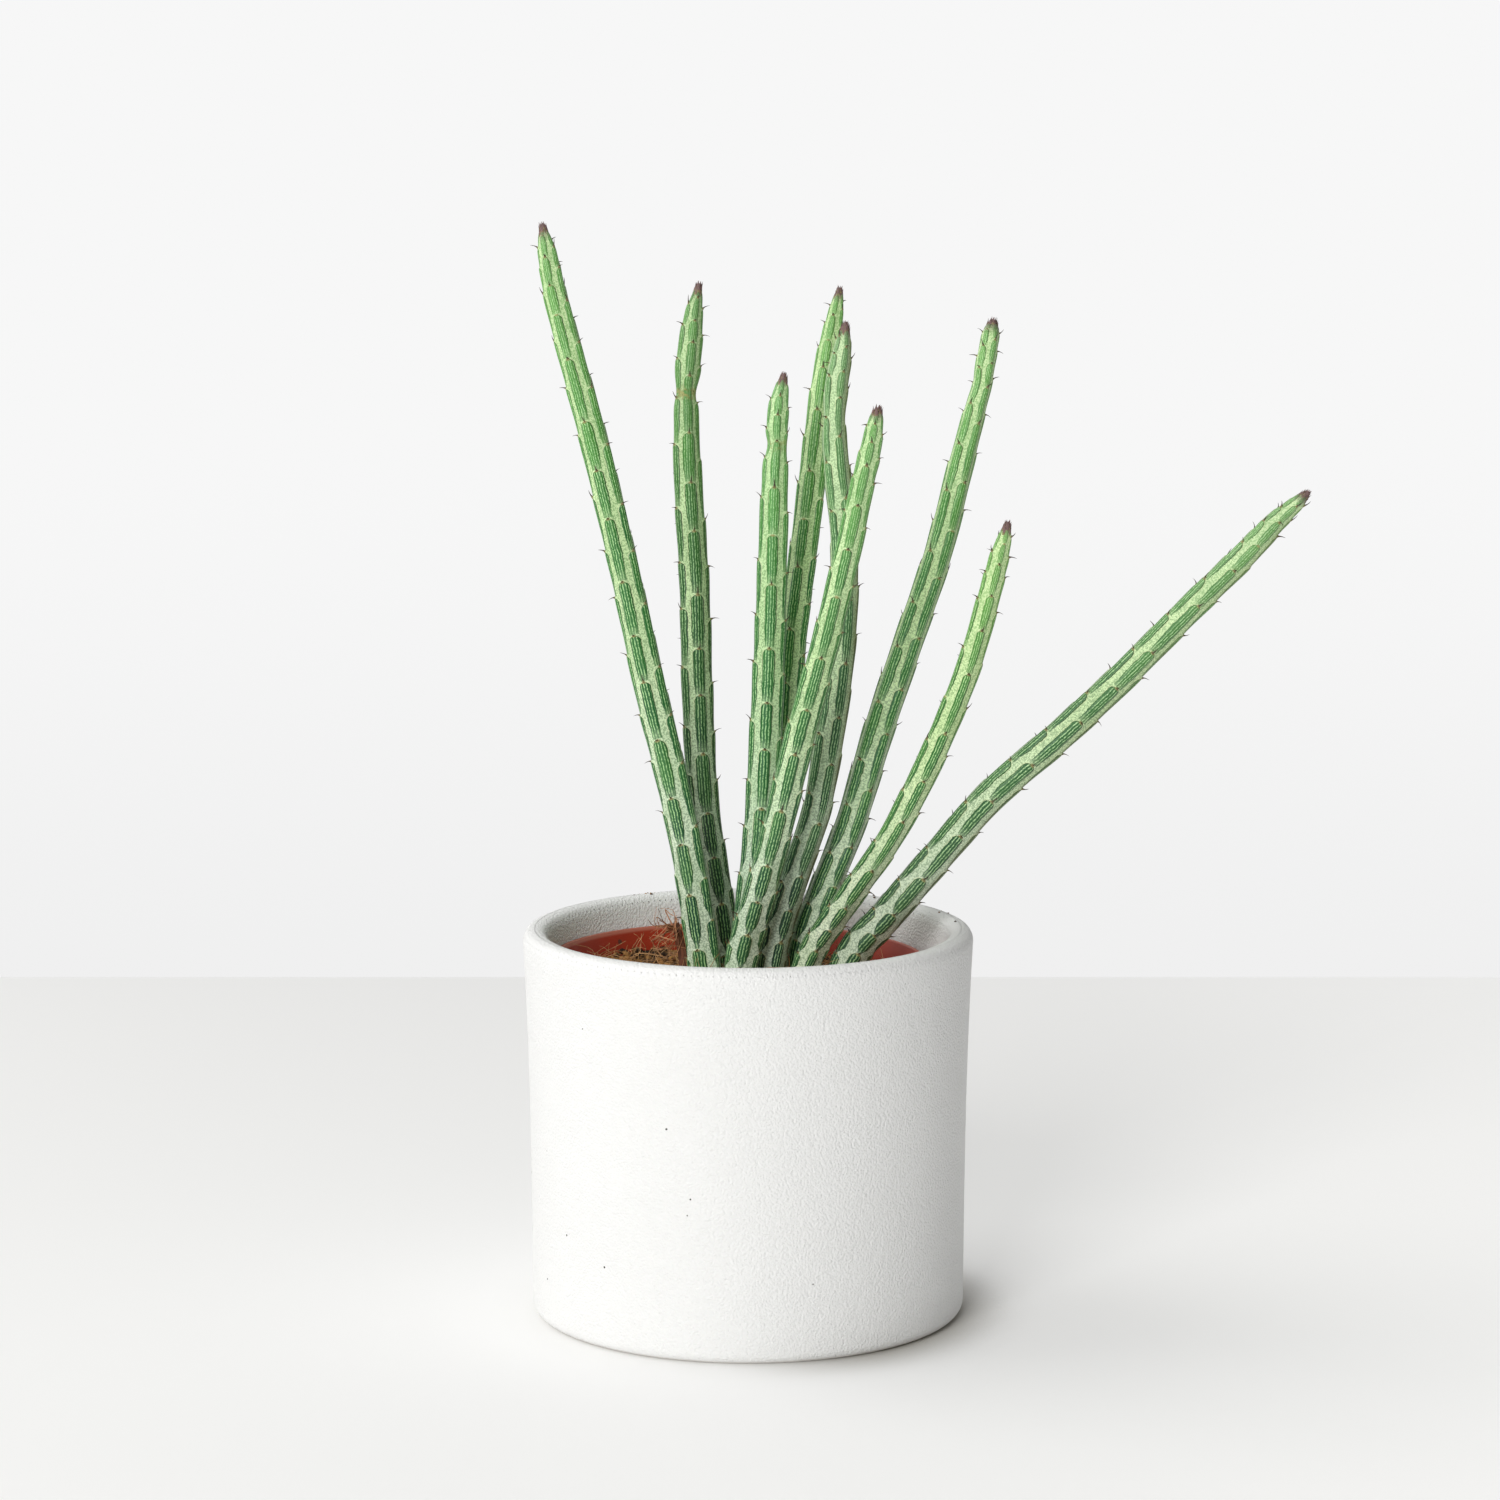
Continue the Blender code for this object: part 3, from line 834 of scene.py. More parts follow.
def mix_height(settings, x, y):
    """Height of the crumbly surface above the nursery pot's underside."""
    slow = math.sin(170 * x + 0.6) * math.cos(150 * y) + 0.6 * math.sin(310 * y - 240 * x)
    lumps = noise.fractal(Vector((x, y, 0)) * 190, 0.8, 2.1, 4)
    crumbs = noise.noise(Vector((x, y, 0.2)) * 900)
    return (settings.surface + 0.7 * MM * slow + settings.roughness * lumps
            + 0.35 * MM * crumbs)


def build_potting_mix(settings):
    """Root ball: a cone whose top is inset ring by ring and then moved into crumbs."""
    bottom, top_radius, rings = 4.8 * MM, 54.2 * MM, 56
    mix = add_shape("cone", "potting_mix_surface", settings.surface - bottom, bottom,
                    vertices=210, radius1=40.2 * MM, radius2=top_radius)
    mode("EDIT")
    pick("FACE", lambda middle, normal: normal.z > 0.9)
    for _ in range(rings):
        bpy.ops.mesh.inset(thickness=top_radius / (rings + 0.6))
    bpy.ops.mesh.poke()
    mode("OBJECT")
    for vert in mix.data.vertices:
        if vert.co.z > settings.surface - NEAR:
            vert.co.z = mix_height(settings, vert.co.x, vert.co.y)
            vert.co.z -= 1.2 * MM * float(smoothstep(across(vert.co), 50 * MM, 54 * MM))
    place_in_cover_pot(mix)
    smooth_by_angle(mix, 60)
    return mix


def model_crumb(seed):
    """One irregular crumb about 1 unit across."""
    crumb = add_shape("ico_sphere", f"crumb_{seed}", subdivisions=2, radius=0.5)
    shift = Vector((seed * 7.1, seed * 3.3, seed * 1.7))
    for vert in crumb.data.vertices:
        swell = 1 + 0.55 * noise.noise(vert.co * 2.6 + shift)
        vert.co = Vector((vert.co.x * 1.3, vert.co.y, vert.co.z * 0.75)) * swell
    return crumb


def model_fibre(seed, sides=3, bends=7):
    """One bent fibre, 1 unit long and 1/40 unit thick."""
    rng = random.Random(seed)
    fibre = add_shape("cone", f"fibre_{seed}", 1, vertices=sides, radius1=0.0125, radius2=0.006)
    mode("EDIT")
    cut_at(cut / bends for cut in range(1, bends))
    mode("OBJECT")
    sway, curl = rng.uniform(0.1, 0.32), rng.uniform(-0.22, 0.22)
    for vert in fibre.data.vertices:
        z = vert.co.z
        vert.co.x += sway * math.sin(math.pi * z) + 0.05 * math.sin(7 * z + seed)
        vert.co.y += curl * z * z + 0.04 * math.sin(5 * z + 2 * seed)
    return fibre


def turned(angle, axis="Z"):
    """A turn around an axis."""
    return Matrix.Rotation(angle, 4, axis)


def scatter_crumbs(settings):
    """Loose crumbs over the mix, bigger ones fewer."""
    rng, stand = random.Random(11), stand_in_cover_pot()
    models = [model_crumb(seed) for seed in range(6)]
    copies = []
    for _ in range(settings.crumbs):
        radius, angle = 52.5 * MM * math.sqrt(rng.random()), rng.uniform(0, 2 * math.pi)
        x, y = radius * math.cos(angle), radius * math.sin(angle)
        size = (0.6 + 2.1 * rng.random() ** 3) * MM
        z = mix_height(settings, x, y) + 0.18 * size
        turn = turned(rng.uniform(0, 6.28)) @ turned(rng.uniform(-0.5, 0.5), "X")
        copies.append(copy_piece(
            rng.choice(models),
            stand @ Matrix.Translation((x, y, z)) @ turn @ Matrix.Scale(size, 4)))
    # A few specks of mix that fell on the cover pot's rim: where they lie, how spread, how many.
    for middle, spread, count in ((118, 10, 9), (48, 14, 8), (20, 9, 5)):
        for _ in range(count):
            angle = math.radians(rng.gauss(middle, spread / 2))
            radius = 66.1 * MM + rng.uniform(-1.4, 1.4) * MM
            size = rng.uniform(0.25, 0.7) * MM
            spot = (radius * math.cos(angle), radius * math.sin(angle), POT_HIGH.z - 0.02 * MM)
            copies.append(copy_piece(rng.choice(models), Matrix.Translation(spot)
                                     @ turned(rng.uniform(0, 6.28)) @ Matrix.Scale(size, 4)))
    return join_pieces(copies, "potting_mix_crumbs", 50, models)


def scatter_fibres(settings):
    """Loose coir fibres, lying on the mix and sticking up at its edge."""
    rng, stand = random.Random(23), stand_in_cover_pot()
    models = [model_fibre(seed) for seed in range(6)]
    copies = []
    for _ in range(settings.fibres):
        radius, angle = 52 * MM * rng.random() ** 0.42, rng.uniform(0, 2 * math.pi)
        x, y = radius * math.cos(angle), radius * math.sin(angle)
        z = mix_height(settings, x, y) + 0.1 * MM
        size = rng.uniform(5, 15) * MM
        thick = rng.uniform(0.6, 1.3) * size
        lean = math.radians(rng.choice((84, 88, 76, 60, 38)) + rng.uniform(-12, 6))
        heading = rng.uniform(0, 2 * math.pi)
        reach = math.hypot(x + size * math.cos(heading), y + size * math.sin(heading))
        if reach > 55 * MM:
            heading = angle + math.pi + rng.uniform(-0.9, 0.9)
        place = (stand @ Matrix.Translation((x, y, z)) @ turned(heading) @ turned(lean, "Y")
                 @ turned(rng.uniform(0, 6.28)) @ Matrix.Diagonal((thick, thick, size, 1)))
        copies.append(copy_piece(rng.choice(models), place))
    return join_pieces(copies, "potting_mix_fibres", 60, models)


# ---------------------------------------------------------------------------
# Stems
# ---------------------------------------------------------------------------

def trace_rings(node, corners):
    """Ring centres and radii of a CAD sweep from foot to tip, as rows of x, y, z, radius."""
    shape = bmesh.new()
    shape.from_mesh(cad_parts[node].data)
    bmesh.ops.remove_doubles(shape, verts=shape.verts, dist=0.001 * MM)
    top = max(shape.verts, key=lambda vert: vert.co.z).co.copy()
    layer = sorted(shape.verts, key=lambda vert: (vert.co - top).length)[:corners]
    seen = set(layer)
    rings = []
    while layer:
        centre = sum((vert.co for vert in layer), Vector()) / len(layer)
        radius = max((vert.co - centre).length for vert in layer)
        rings.append((*centre, radius))
        following = []
        for vert in layer:
            for edge in vert.link_edges:
                other = edge.other_vert(vert)
                if other not in seen:
                    seen.add(other)
                    following.append(other)
        layer = following
    shape.free()
    return np.array(rings[::-1])


def smooth_line(rings, step):
    """Evenly spaced rows of x, y, z, radius on a smooth curve through the rings."""
    ends = np.vstack([2 * rings[0] - rings[1], rings, 2 * rings[-1] - rings[-2]])
    dense = []
    for before, start, end, after in zip(ends, ends[1:], ends[2:], ends[3:]):
        for t in np.arange(0, 1, 1 / 16):
            dense.append(0.5 * (2 * start + (end - before) * t
                                + (2 * before - 5 * start + 4 * end - after) * t ** 2
                                + (3 * start - before - 3 * end + after) * t ** 3))
    dense = np.array(dense + [rings[-1]])
    gone = np.concatenate([[0], np.cumsum(np.linalg.norm(np.diff(dense[:, :3], axis=0), axis=1))])
    count = int(round(gone[-1] / step)) + 1
    wanted = np.linspace(0, gone[-1], count)
    line = np.stack([np.interp(wanted, gone, dense[:, column]) for column in range(4)], axis=1)
    return wanted, line


def row_count(leaves, row):
    """Leaf bases counted along a row; each row starts a little later and sways a little."""
    return leaves + ROW_STEP * row + SWAY * np.sin(SWAY_CLIMB * leaves + SWAY_ROW * row)


class StemLine:
    """A stem's centre line, with its untwisted cross directions and the count of leaf bases."""

    def __init__(self, name, settings, corners=CAD_CORNERS, step=0.52 * MM):
        self.distance, line = smooth_line(trace_rings(name, corners), step)
        self.centre, self.radius = line[:, :3], line[:, 3]
        along = np.gradient(self.centre, axis=0)
        self.along = along / np.linalg.norm(along, axis=1)[:, None]
        side = np.array([1.0, 0.0, 0.0])
        sides = []
        for heading in self.along:
            side = side - heading * side.dot(heading)
            side = side / np.linalg.norm(side)
            sides.append(side)
        self.side = np.array(sides)
        self.across = np.cross(self.along, self.side)
        start = np.interp(NURSERY_LIFT + MIX_SURFACE, self.centre[:, 2], self.distance)
        self.start, self.end = start, self.distance[-1]
        above, below_tip = self.distance - start, self.end - self.distance
        self.turn = 0.0
        if settings is None:
            return
        turn, shift = STEM_LOOKS[name][:2]
        self.turn = math.radians(turn) - math.pi / LEAF_ROWS
        lowest = STEM_LOOKS[name][7] * MM
        leaf = lowest + (settings.leaf_base - lowest) * smoothstep(above, 4 * MM, 55 * MM)
        leaf = settings.leaf_base_tip + (leaf - settings.leaf_base_tip) * (
            smoothstep(below_tip, 2 * MM, 48 * MM))
        steps = np.diff(self.distance) / (0.5 * (leaf[1:] + leaf[:-1]))
        count = np.concatenate([[0], np.cumsum(steps)])
        self.leaves = count - np.interp(start, self.distance, count) + shift
        self.growth = np.clip(above / (self.end - start), 0, 1)
        self.leaf_length = leaf
        self.rows = [row_count(self.leaves, row) for row in range(LEAF_ROWS)]
        window = int(9 * MM / step)
        padded = np.pad(self.radius, window, mode="edge")
        wide = np.convolve(padded, np.ones(2 * window + 1) / (2 * window + 1), mode="valid")
        ends = smoothstep(below_tip, 12 * MM, 18 * MM) * smoothstep(above, 20 * MM, 30 * MM)
        self.scar = smoothstep(wide - self.radius, 0.20 * MM, 0.55 * MM) * ends

    def reach(self, settings, turn, leaves, radius, leaf_length):
        """Distance of the skin from the centre line."""
        row = np.floor(turn)
        beside = turn - row - 0.5
        along = row_count(leaves, row)
        along = along - np.floor(along)
        rib = np.cos(math.pi * beside) ** 2
        crest = np.exp(-(beside / 0.27) ** 4)
        drop = smoothstep(along, 1 - 0.9 * MM / leaf_length, 1.0)
        rise = 0.25 + 0.75 * smoothstep(along, 0.1, 0.92)
        rise = rise * (1 - drop) + 0.25 * drop
        room = np.clip(radius / (4 * MM), 0.15, 1.0)
        return radius * (0.925 + 0.06 * rib) + settings.relief * room * (crest * rise - 0.15)

    def point(self, distance, turn):
        """Centre, radius, outward and along at a distance from the foot and a row angle."""
        def read(rows):
            return np.array([np.interp(distance, self.distance, column) for column in rows.T])
        angle = self.turn + turn * 2 * math.pi / LEAF_ROWS
        outward = read(self.side) * math.cos(angle) + read(self.across) * math.sin(angle)
        radius = np.interp(distance, self.distance, self.radius)
        return read(self.centre), radius, outward, read(self.along)


def build_tube(name, sides, line, reach_of):
    """An open tube stacked storey by storey along a line; reach_of says how far out its skin
    lies. It comes with each vertex's share of a turn, storey and outward direction."""
    tube = add_shape("cylinder", name, 1, vertices=sides, radius=1, end_fill_type="NOTHING")
    stack = tube.modifiers.new("storeys", "ARRAY")
    stack.count = len(line.distance) - 1
    stack.use_relative_offset = True
    stack.relative_offset_displace = (0, 0, 1)
    stack.use_merge_vertices = True
    stack.merge_threshold = 0.01
    apply_modifiers(tube)
    points = np.empty(len(tube.data.vertices) * 3)
    tube.data.vertices.foreach_get("co", points)
    points = points.reshape(-1, 3)
    column = np.arctan2(points[:, 1], points[:, 0]) / (2 * math.pi) * sides
    round_share = np.round(column).astype(int) % sides / sides
    storey = np.round(points[:, 2]).astype(int)
    angle = line.turn + round_share * 2 * math.pi
    outward = (line.side[storey] * np.cos(angle)[:, None]
               + line.across[storey] * np.sin(angle)[:, None])
    reach = reach_of(round_share, storey)
    tube.data.vertices.foreach_set("co", (line.centre[storey] + outward * reach[:, None]).ravel())
    return tube, round_share, storey, outward


def close_ends(tube):
    """Cap the open ends of a tube and shade it smooth."""
    activate(tube)
    mode("EDIT")
    bpy.ops.mesh.select_mode(type="EDGE")
    bpy.ops.mesh.select_all(action="DESELECT")
    bpy.ops.mesh.select_non_manifold()
    bpy.ops.mesh.edge_face_add()
    bpy.ops.mesh.select_all(action="SELECT")
    bpy.ops.mesh.normals_make_consistent(inside=False)
    mode("OBJECT")
    smooth_by_angle(tube, 50)


def build_stem(name, settings, sides=90):
    """One stem: a tube drawn along the CAD stem's line, with rows of raised leaf bases."""
    line = StemLine(name, settings)
    stem, round_share, storey, outward = build_tube(
        name + "_skin", sides, line, lambda round_share, storey: line.reach(
            settings, round_share * LEAF_ROWS, line.leaves[storey], line.radius[storey],
            line.leaf_length[storey]))
    mesh = stem.data

    # The growth map counts rows around and leaf bases along; its seam lies in a valley.
    loops = np.empty(len(mesh.loops), dtype=int)
    mesh.loops.foreach_get("vertex_index", loops)
    around = (round_share * LEAF_ROWS)[loops].reshape(-1, 4)
    around = np.where((around.max(1) - around.min(1) > LEAF_ROWS / 2)[:, None] & (around < 1),
                      around + LEAF_ROWS, around)
    growth_map = mesh.uv_layers.new(name="growth")
    growth_map.data.foreach_set(
        "uv", np.stack([around.ravel(), line.leaves[storey][loops]], axis=1).ravel())
    # A mask of the stem's right side, away from the lights, for painted shade.
    sunny = smoothstep(outward @ np.array([0.93, 0.1, -0.35]), 0.55, 0.98)
    for key, values in (("growth_share", line.growth[storey]), ("scar", line.scar[storey]),
                        ("leaf_length", line.leaf_length[storey] / MM), ("sunny_side", sunny)):
        attribute = mesh.attributes.new(key, "FLOAT", "POINT")
        attribute.data.foreach_set("value", values.astype(np.float32))
    close_ends(stem)
    return stem, line


def model_scale(name, bend, flatten, sides=6, bends=6):
    """One awl-shaped leaf scale, 1 unit long along Z, with a map of how far along a point is."""
    scale = add_shape("cone", name, 1, vertices=sides, radius1=0.5, radius2=0.03)
    mode("EDIT")
    cut_at((cut / bends) ** 1.2 for cut in range(1, bends))
    mode("OBJECT")
    mesh = scale.data
    heights = [vert.co.z for vert in mesh.vertices]
    for vert in mesh.vertices:
        z = vert.co.z
        slim = 1.0 - 0.45 * math.sin(math.pi * min(1.0, z * 1.1)) if flatten == 1 else (
            1.0 + 0.5 * math.sin(math.pi * min(1.0, z * 1.2)))
        vert.co.x *= slim * flatten
        vert.co.y *= slim
        vert.co.x += bend * z * z
    reach = mesh.uv_layers.new(name="reach")
    for loop in mesh.loops:
        reach.data[loop.index].uv = (0.5, heights[loop.vertex_index])
    return scale


def aim(base, outward, along, lift, roll, thickness, size):
    """A place for a leaf scale: its foot at base, leaning outward by lift from the stem."""
    outward, along = Vector(outward).normalized(), Vector(along).normalized()
    pointing = (along * math.cos(lift) + outward * math.sin(lift)).normalized()
    bulge = (outward * math.cos(lift) - along * math.sin(lift)).normalized()
    sideways = pointing.cross(bulge).normalized()
    turned = bulge * math.cos(roll) + sideways * math.sin(roll)
    beside = pointing.cross(turned)
    return Matrix((
        (turned.x * thickness, beside.x * thickness, pointing.x * size, base[0]),
        (turned.y * thickness, beside.y * thickness, pointing.y * size, base[1]),
        (turned.z * thickness, beside.z * thickness, pointing.z * size, base[2]),
        (0, 0, 0, 1)))


def grow_scales(name, line, settings, stem_settings, models):
    """A leaf scale at the top of each leaf base above the mix."""
    rng = random.Random(name)
    copies = []
    for row, counts in enumerate(line.rows):
        for leaf in range(math.floor(counts[0]), math.ceil(counts[-1])):
            distance = np.interp(leaf + LEAF_TOP, counts, line.distance)
            if not line.start + 2 * MM < distance < line.end - 3 * MM or rng.random() < 0.10:
                continue
            turn = row + 0.5
            centre, radius, outward, along = line.point(distance, turn)
            reach = line.reach(
                stem_settings, turn, np.interp(distance, line.distance, line.leaves), radius,
                np.interp(distance, line.distance, line.leaf_length))
            size = settings.length * rng.uniform(0.7, 1.25)
            thickness = settings.thickness * rng.uniform(0.85, 1.2)
            foot = centre + outward * (reach - 0.15 * MM)
            lift = math.radians(rng.uniform(25, 70))
            copies.append(copy_piece(rng.choice(models), aim(
                foot, outward, along, lift, rng.uniform(-0.5, 0.5), thickness, size)))
    return copies


def grow_bud(name, line, settings, model):
    """Overlapping scales that close over the tip of a stem."""
    rng = random.Random(name + "bud")
    copies = []
    for whorl, (behind, lift, size, count) in enumerate((
            (3.4 * MM, 5, 0.85, 4), (2.6 * MM, 3, 1.0, 5), (1.5 * MM, 0, 0.8, 4),
            (0.7 * MM, -3, 0.6, 3))):
        for step in range(count):
            turn = LEAF_ROWS * (step + 0.5 * (whorl % 2)) / count + rng.uniform(-0.12, 0.12)
            centre, radius, outward, along = line.point(line.end - behind, turn)
            foot = centre + outward * (radius * 0.78)
            length_of = settings.bud_length * size * rng.uniform(0.85, 1.1)
            inward = math.atan2(radius * 0.55, length_of)
            copies.append(copy_piece(model, aim(
                foot, outward, along, math.radians(lift) - inward + rng.uniform(-0.08, 0.1),
                math.pi, 1.35 * MM * (0.6 + 0.4 * size), length_of)))
    return copies


# ---------------------------------------------------------------------------
# Dry stalk
# ---------------------------------------------------------------------------

def build_dry_stalk(settings, sides=28):
    """Withered stub: a shrivelled tube along the CAD stalk, with frayed strands at its top."""
    line = StemLine("dry_stalk", None, corners=7, step=0.35 * MM)

    def furrowed(round_share, storey):
        furrow = [noise.noise(Vector((math.cos(a) * 3, math.sin(a) * 3, s * 0.035)))
                  for a, s in zip(round_share * 2 * math.pi, storey)]
        return line.radius[storey] * (0.88 + 0.22 * np.array(furrow))

    stalk = build_tube("dry_stalk_bark", sides, line, furrowed)[0]
    close_ends(stalk)

    rng = random.Random(5)
    models = [model_fibre(seed + 40) for seed in range(3)]
    strands = []
    for _ in range(settings.strands):
        at = int(len(line.distance) * rng.uniform(0.80, 0.99))
        angle = rng.uniform(0, 2 * math.pi)
        out = line.side[at] * math.cos(angle) + line.across[at] * math.sin(angle)
        foot = line.centre[at] + out * line.radius[at] * 0.8
        fan = Vector(out) * 0.5 + Vector((-1.1, -0.5, 0))
        lift = math.radians(rng.triangular(20, 140, 75))
        strands.append(copy_piece(rng.choice(models), aim(
            foot, fan, line.along[at], lift, rng.uniform(0, 6), rng.uniform(14, 26) * MM,
            rng.uniform(4, 9) * MM)))
    return stalk, join_pieces(strands, "dry_stalk_strands", 60, models)


# ---------------------------------------------------------------------------
# Operators
# ---------------------------------------------------------------------------

class BuildStep:
    """What the build steps share: each one has a build function for what it adds."""

    def execute(self, context):
        self.build(context.scene)
        return {"FINISHED"}


class PLANT_OT_shader_groups(BuildStep, bpy.types.Operator):
    """Build the shader node groups that the materials share"""
    bl_idname = "plant.shader_groups"
    bl_label = "Shader Groups"

    def build(self, scene):
        build_fine_grain()
        build_dirt_flecks()
        build_fibre_streaks()
        build_leaf_base_pattern()


class PLANT_OT_cover_pot(BuildStep, bpy.types.Operator):
    """Build the ceramic cover pot"""
    bl_idname = "plant.cover_pot"
    bl_label = "Cover Pot"

    def build(self, scene):
        settings = scene.plant_cover_pot
        finish_piece(build_cover_pot(settings), "white_ceramic", ceramic_material(settings),
                     "cover_pot")


class PLANT_OT_nursery_pot(BuildStep, bpy.types.Operator):
    """Build the plastic nursery pot"""
    bl_idname = "plant.nursery_pot"
    bl_label = "Nursery Pot"

    def build(self, scene):
        settings = scene.plant_nursery_pot
        finish_piece(build_nursery_pot(settings), "terracotta_plastic",
                     plastic_material(settings), "nursery_pot")


class PLANT_OT_potting_mix(BuildStep, bpy.types.Operator):
    """Build the root ball with its loose crumbs and coir fibres"""
    bl_idname = "plant.potting_mix"
    bl_label = "Potting Mix"

    def build(self, scene):
        settings = scene.plant_potting_mix
        material = mix_material(settings)
        finish_piece(build_potting_mix(settings), "coir_peat", material, "potting_mix")
        finish_piece(scatter_crumbs(settings), "coir_peat", material)
        finish_piece(scatter_fibres(settings), "coir_peat", fibre_material(settings))


class PLANT_OT_stems(BuildStep, bpy.types.Operator):
    """Build the stems, each with its leaf scales and its bud"""
    bl_idname = "plant.stems"
    bl_label = "Stems"

    def build(self, scene):
        settings, small = scene.plant_stems, scene.plant_leaf_scales
        awls = [model_scale(f"awl_{index}", bend, 1)
                for index, bend in enumerate((1.3, 0.8, -1.0))]
        husk = model_scale("husk", -0.5, 0.45)
        awl_skin = scale_material("Leaf Scale", small.dry, small.foot)
        bud_skin = scale_material("Bud Scale", small.bud, small.foot)
        for name in STEM_NAMES:
            stem, line = build_stem(name, settings)
            finish_piece(stem, "stem_skin", stem_material(settings, name), name)
            scales = grow_scales(name, line, small, settings, awls)
            finish_piece(join_pieces(scales, name + "_scales", 60), "stem_skin", awl_skin)
            bud = grow_bud(name, line, small, husk)
            finish_piece(join_pieces(bud, name + "_bud", 60), "stem_skin", bud_skin)
        for model in awls + [husk]:
            remove_piece(model)


class PLANT_OT_dry_stalk(BuildStep, bpy.types.Operator):
    """Build the withered stub"""
    bl_idname = "plant.dry_stalk"
    bl_label = "Dry Stalk"

    def build(self, scene):
        settings = scene.plant_dry_stalk
        stalk, strands = build_dry_stalk(settings)
        finish_piece(stalk, "dry_stalk",
                     bark_material("Dry Bark", settings.bark, settings.split), "dry_stalk")
        finish_piece(strands, "dry_stalk",
                     bark_material("Dry Strands", settings.strand, settings.bark))


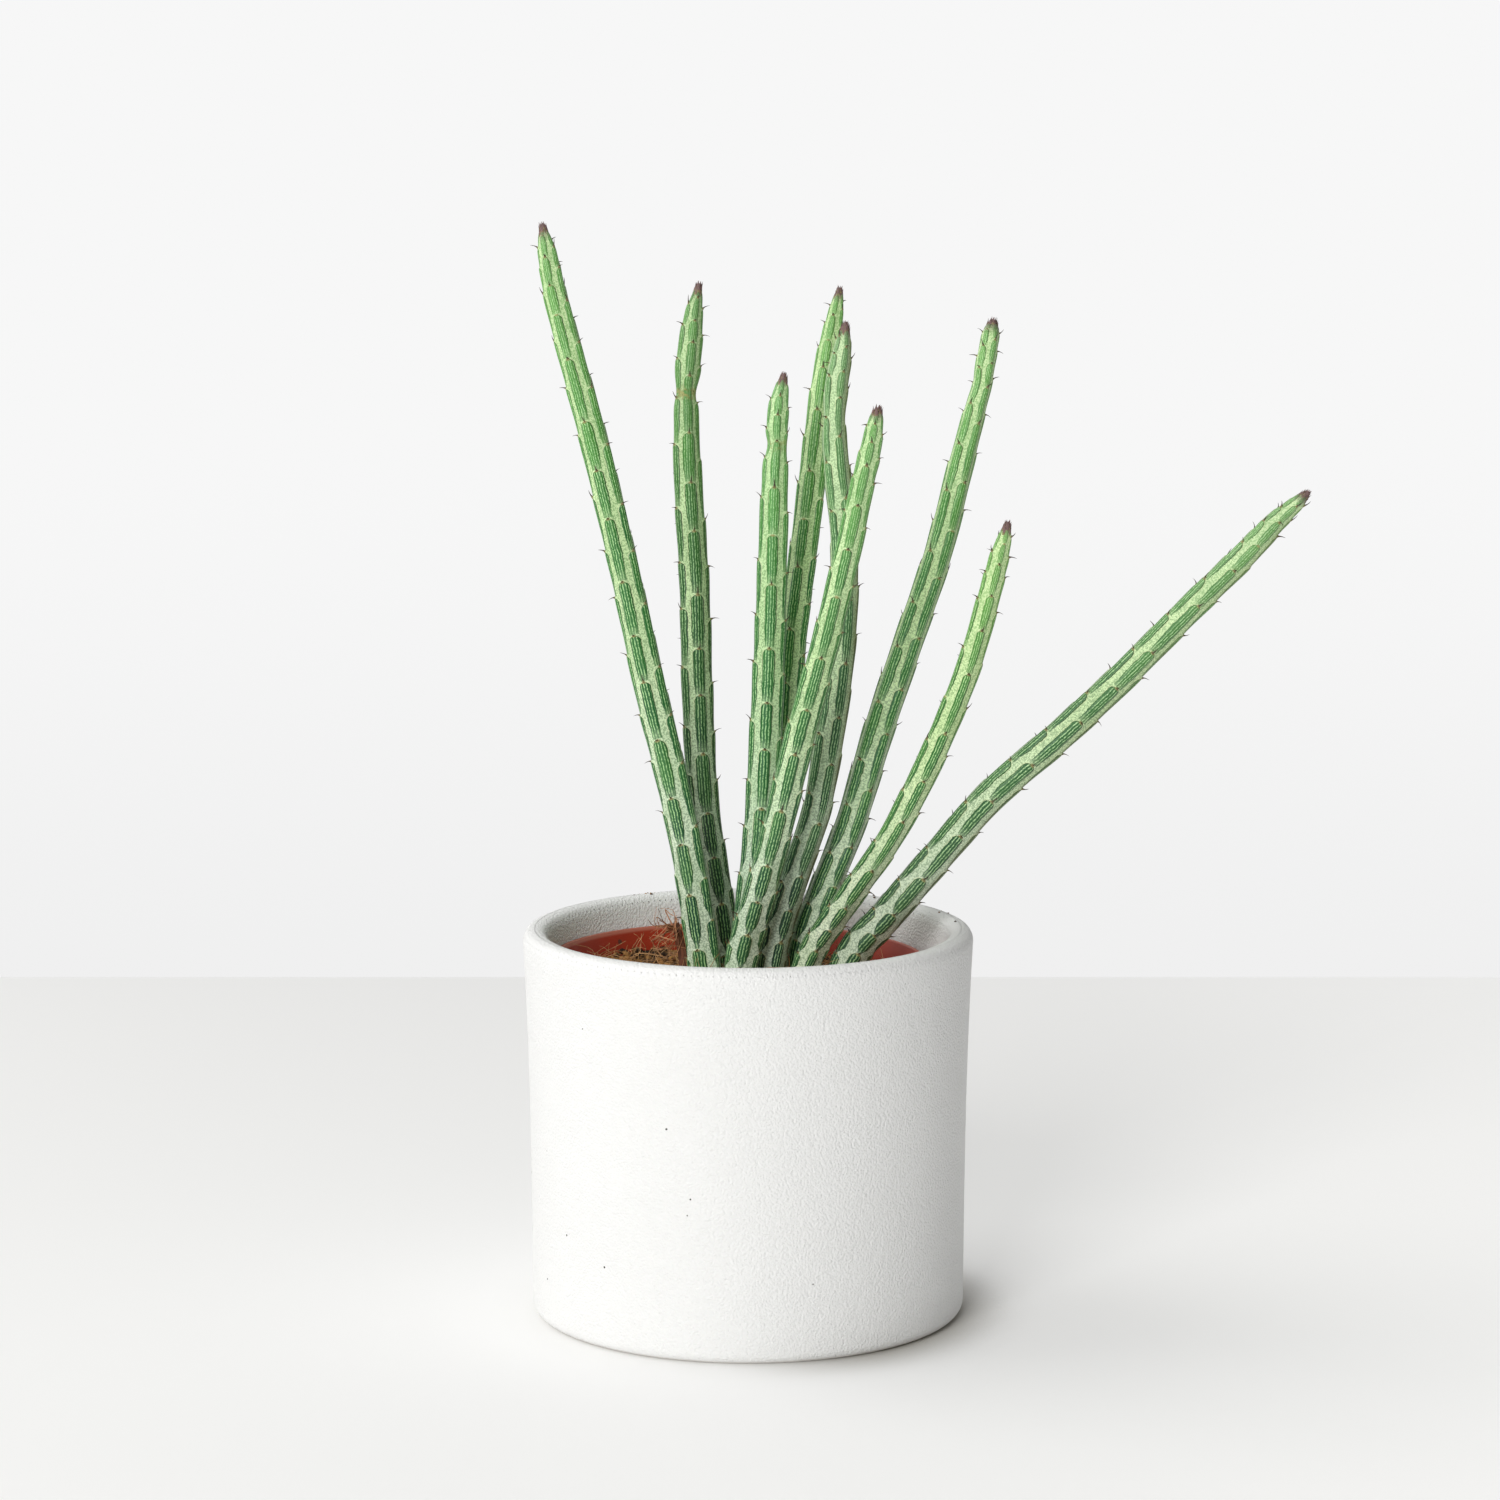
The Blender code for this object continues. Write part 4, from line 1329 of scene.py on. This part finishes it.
class PLANT_OT_stage(BuildStep, bpy.types.Operator):
    """Build the floor, the lights and the camera"""
    bl_idname = "plant.stage"
    bl_label = "Stage"

    def build(self, scene):
        settings = scene.plant_stage
        self.build_floor(settings)
        self.build_lights(scene, settings)
        self.build_world(scene, settings)
        self.build_camera(scene, settings)

    def build_floor(self, settings):
        start_piece()
        bpy.ops.mesh.primitive_plane_add(size=1, location=(0, -0.54, -0.01 * MM))
        floor = name_piece("studio_floor")
        floor.scale = (3.2, 2.12, 1)
        apply_place(floor)
        net = Material("Studio Floor")
        clouds = net.noise(net.place, 3.0).rise(0.3, 0.7, 0.0, 0.4)
        x = net.split(net.place)[0]
        # Close to the pot the floor's colour is darkened, mostly on the side away from the key
        # light: a painted contact shadow.
        open_above = net.node("AmbientOcclusion", {"Distance": 26 * MM}, samples=8)["AO"]
        dim = open_above.rise(0.45, 0.98, 1.0, 0.0) * x.rise(-0.01, 0.045, 0.12, 1.0)
        base = net.coats(settings.floor, (clouds, shade(settings.floor, 0.985)),
                         (dim * 0.50, (0.24, 0.21, 0.14)))
        # The floor gives off painted light, more on its right, where the lights reach it less, and
        # less close to the pot, as painted shadow.
        glow = (1.0 - dim) * x.rise(-0.1, 0.35, 0.85, 1.50) * settings.floor_glow
        dress(floor, net.surface(base, 0.65, specular=0.3, Emission_Color=(1.0, 1.0, 0.99),
                                 Emission_Strength=glow))

    def build_lights(self, scene, settings):
        for name, power, size, place in (
                ("key_light", settings.key_power, 1.5, (-1.4, 0.30, 1.40)),
                ("front_light", settings.front_power, 1.0, (-0.85, -2.15, 1.15))):
            light = bpy.data.lights.new(name, "AREA")
            light.size = size
            light.energy = power
            light.color = LAMP_COLOUR
            lamp = bpy.data.objects.new(name, light)
            lamp.location = place
            lamp.rotation_euler = (Vector((0, 0, 0.12)) - lamp.location).to_track_quat(
                "-Z", "Y").to_euler()
            scene.collection.objects.link(lamp)

    def build_world(self, scene, settings):
        """The camera sees the backdrop; the rest is lit from behind, the left and above."""
        scene.world = bpy.data.worlds.new("studio")
        scene.world.use_nodes = True
        scene.world.node_tree.nodes.clear()
        net = Wiring(scene.world.node_tree)
        x, y, z = net.split(net.node("TexCoord")["Generated"])
        strength = (y.rise(0.0, 0.8) * 0.45 + x.rise(0.3, -0.8) * 0.27 + z.rise(0.0, 0.9) * 0.24
                    + 0.05)
        seen = net.mix(z.rise(-0.22, -0.07), shade(settings.backdrop, 0.93), settings.backdrop)
        net.node("OutputWorld", {0: net.node("MixShader", {
            0: net.node("LightPath")["Is Camera Ray"],
            1: net.node("Background", {0: LAMP_COLOUR, 1: strength})[0],
            2: net.node("Background", {0: seen})[0]})[0]})

    def build_camera(self, scene, settings):
        lens = bpy.data.cameras.new("camera")
        lens.lens = settings.camera_lens
        lens.sensor_width = 36
        lens.clip_end = 20
        camera = bpy.data.objects.new("camera", lens)
        camera.location = (0.6 * MM, -settings.camera_distance, settings.camera_height)
        camera.rotation_euler = (math.pi / 2 - settings.camera_pitch, 0, 0)
        scene.collection.objects.link(camera)
        scene.camera = camera
        scene.view_settings.view_transform = "Standard"


BUILD_ORDER = (
    PLANT_OT_shader_groups, PLANT_OT_cover_pot, PLANT_OT_nursery_pot, PLANT_OT_potting_mix,
    PLANT_OT_stems, PLANT_OT_dry_stalk, PLANT_OT_stage)


class PLANT_PT_panel(bpy.types.Panel):
    """Settings and build steps of the potted pickle plant"""
    bl_idname = "PLANT_PT_panel"
    bl_label = "Potted Pickle Plant"
    bl_space_type = "VIEW_3D"
    bl_region_type = "UI"
    bl_category = "Pickle Plant"

    def draw(self, context):
        layout = self.layout
        for operator in BUILD_ORDER:
            layout.operator(operator.bl_idname)
        for key, group in SETTINGS.items():
            box = layout.box()
            box.label(text=group.__doc__)
            settings = getattr(context.scene, key)
            for name in group.__annotations__:
                box.prop(settings, name)


SETTINGS = {
    "plant_cover_pot": CoverPotSettings,
    "plant_nursery_pot": NurseryPotSettings,
    "plant_potting_mix": PottingMixSettings,
    "plant_stems": StemSettings,
    "plant_leaf_scales": LeafScaleSettings,
    "plant_dry_stalk": DryStalkSettings,
    "plant_stage": StageSettings,
}
CLASSES = (*SETTINGS.values(), *BUILD_ORDER, PLANT_PT_panel)


def register():
    for group in CLASSES:
        bpy.utils.register_class(group)
    for key, group in SETTINGS.items():
        setattr(bpy.types.Scene, key, bpy.props.PointerProperty(type=group))


def unregister():
    for key in SETTINGS:
        delattr(bpy.types.Scene, key)
    for group in reversed(CLASSES):
        bpy.utils.unregister_class(group)


def main():
    register()
    bpy.ops.plant.shader_groups()
    bpy.ops.plant.cover_pot()
    bpy.ops.plant.nursery_pot()
    bpy.ops.plant.potting_mix()
    bpy.ops.plant.stems()
    bpy.ops.plant.dry_stalk()
    bpy.ops.plant.stage()


if __name__ == "__main__":
    main()
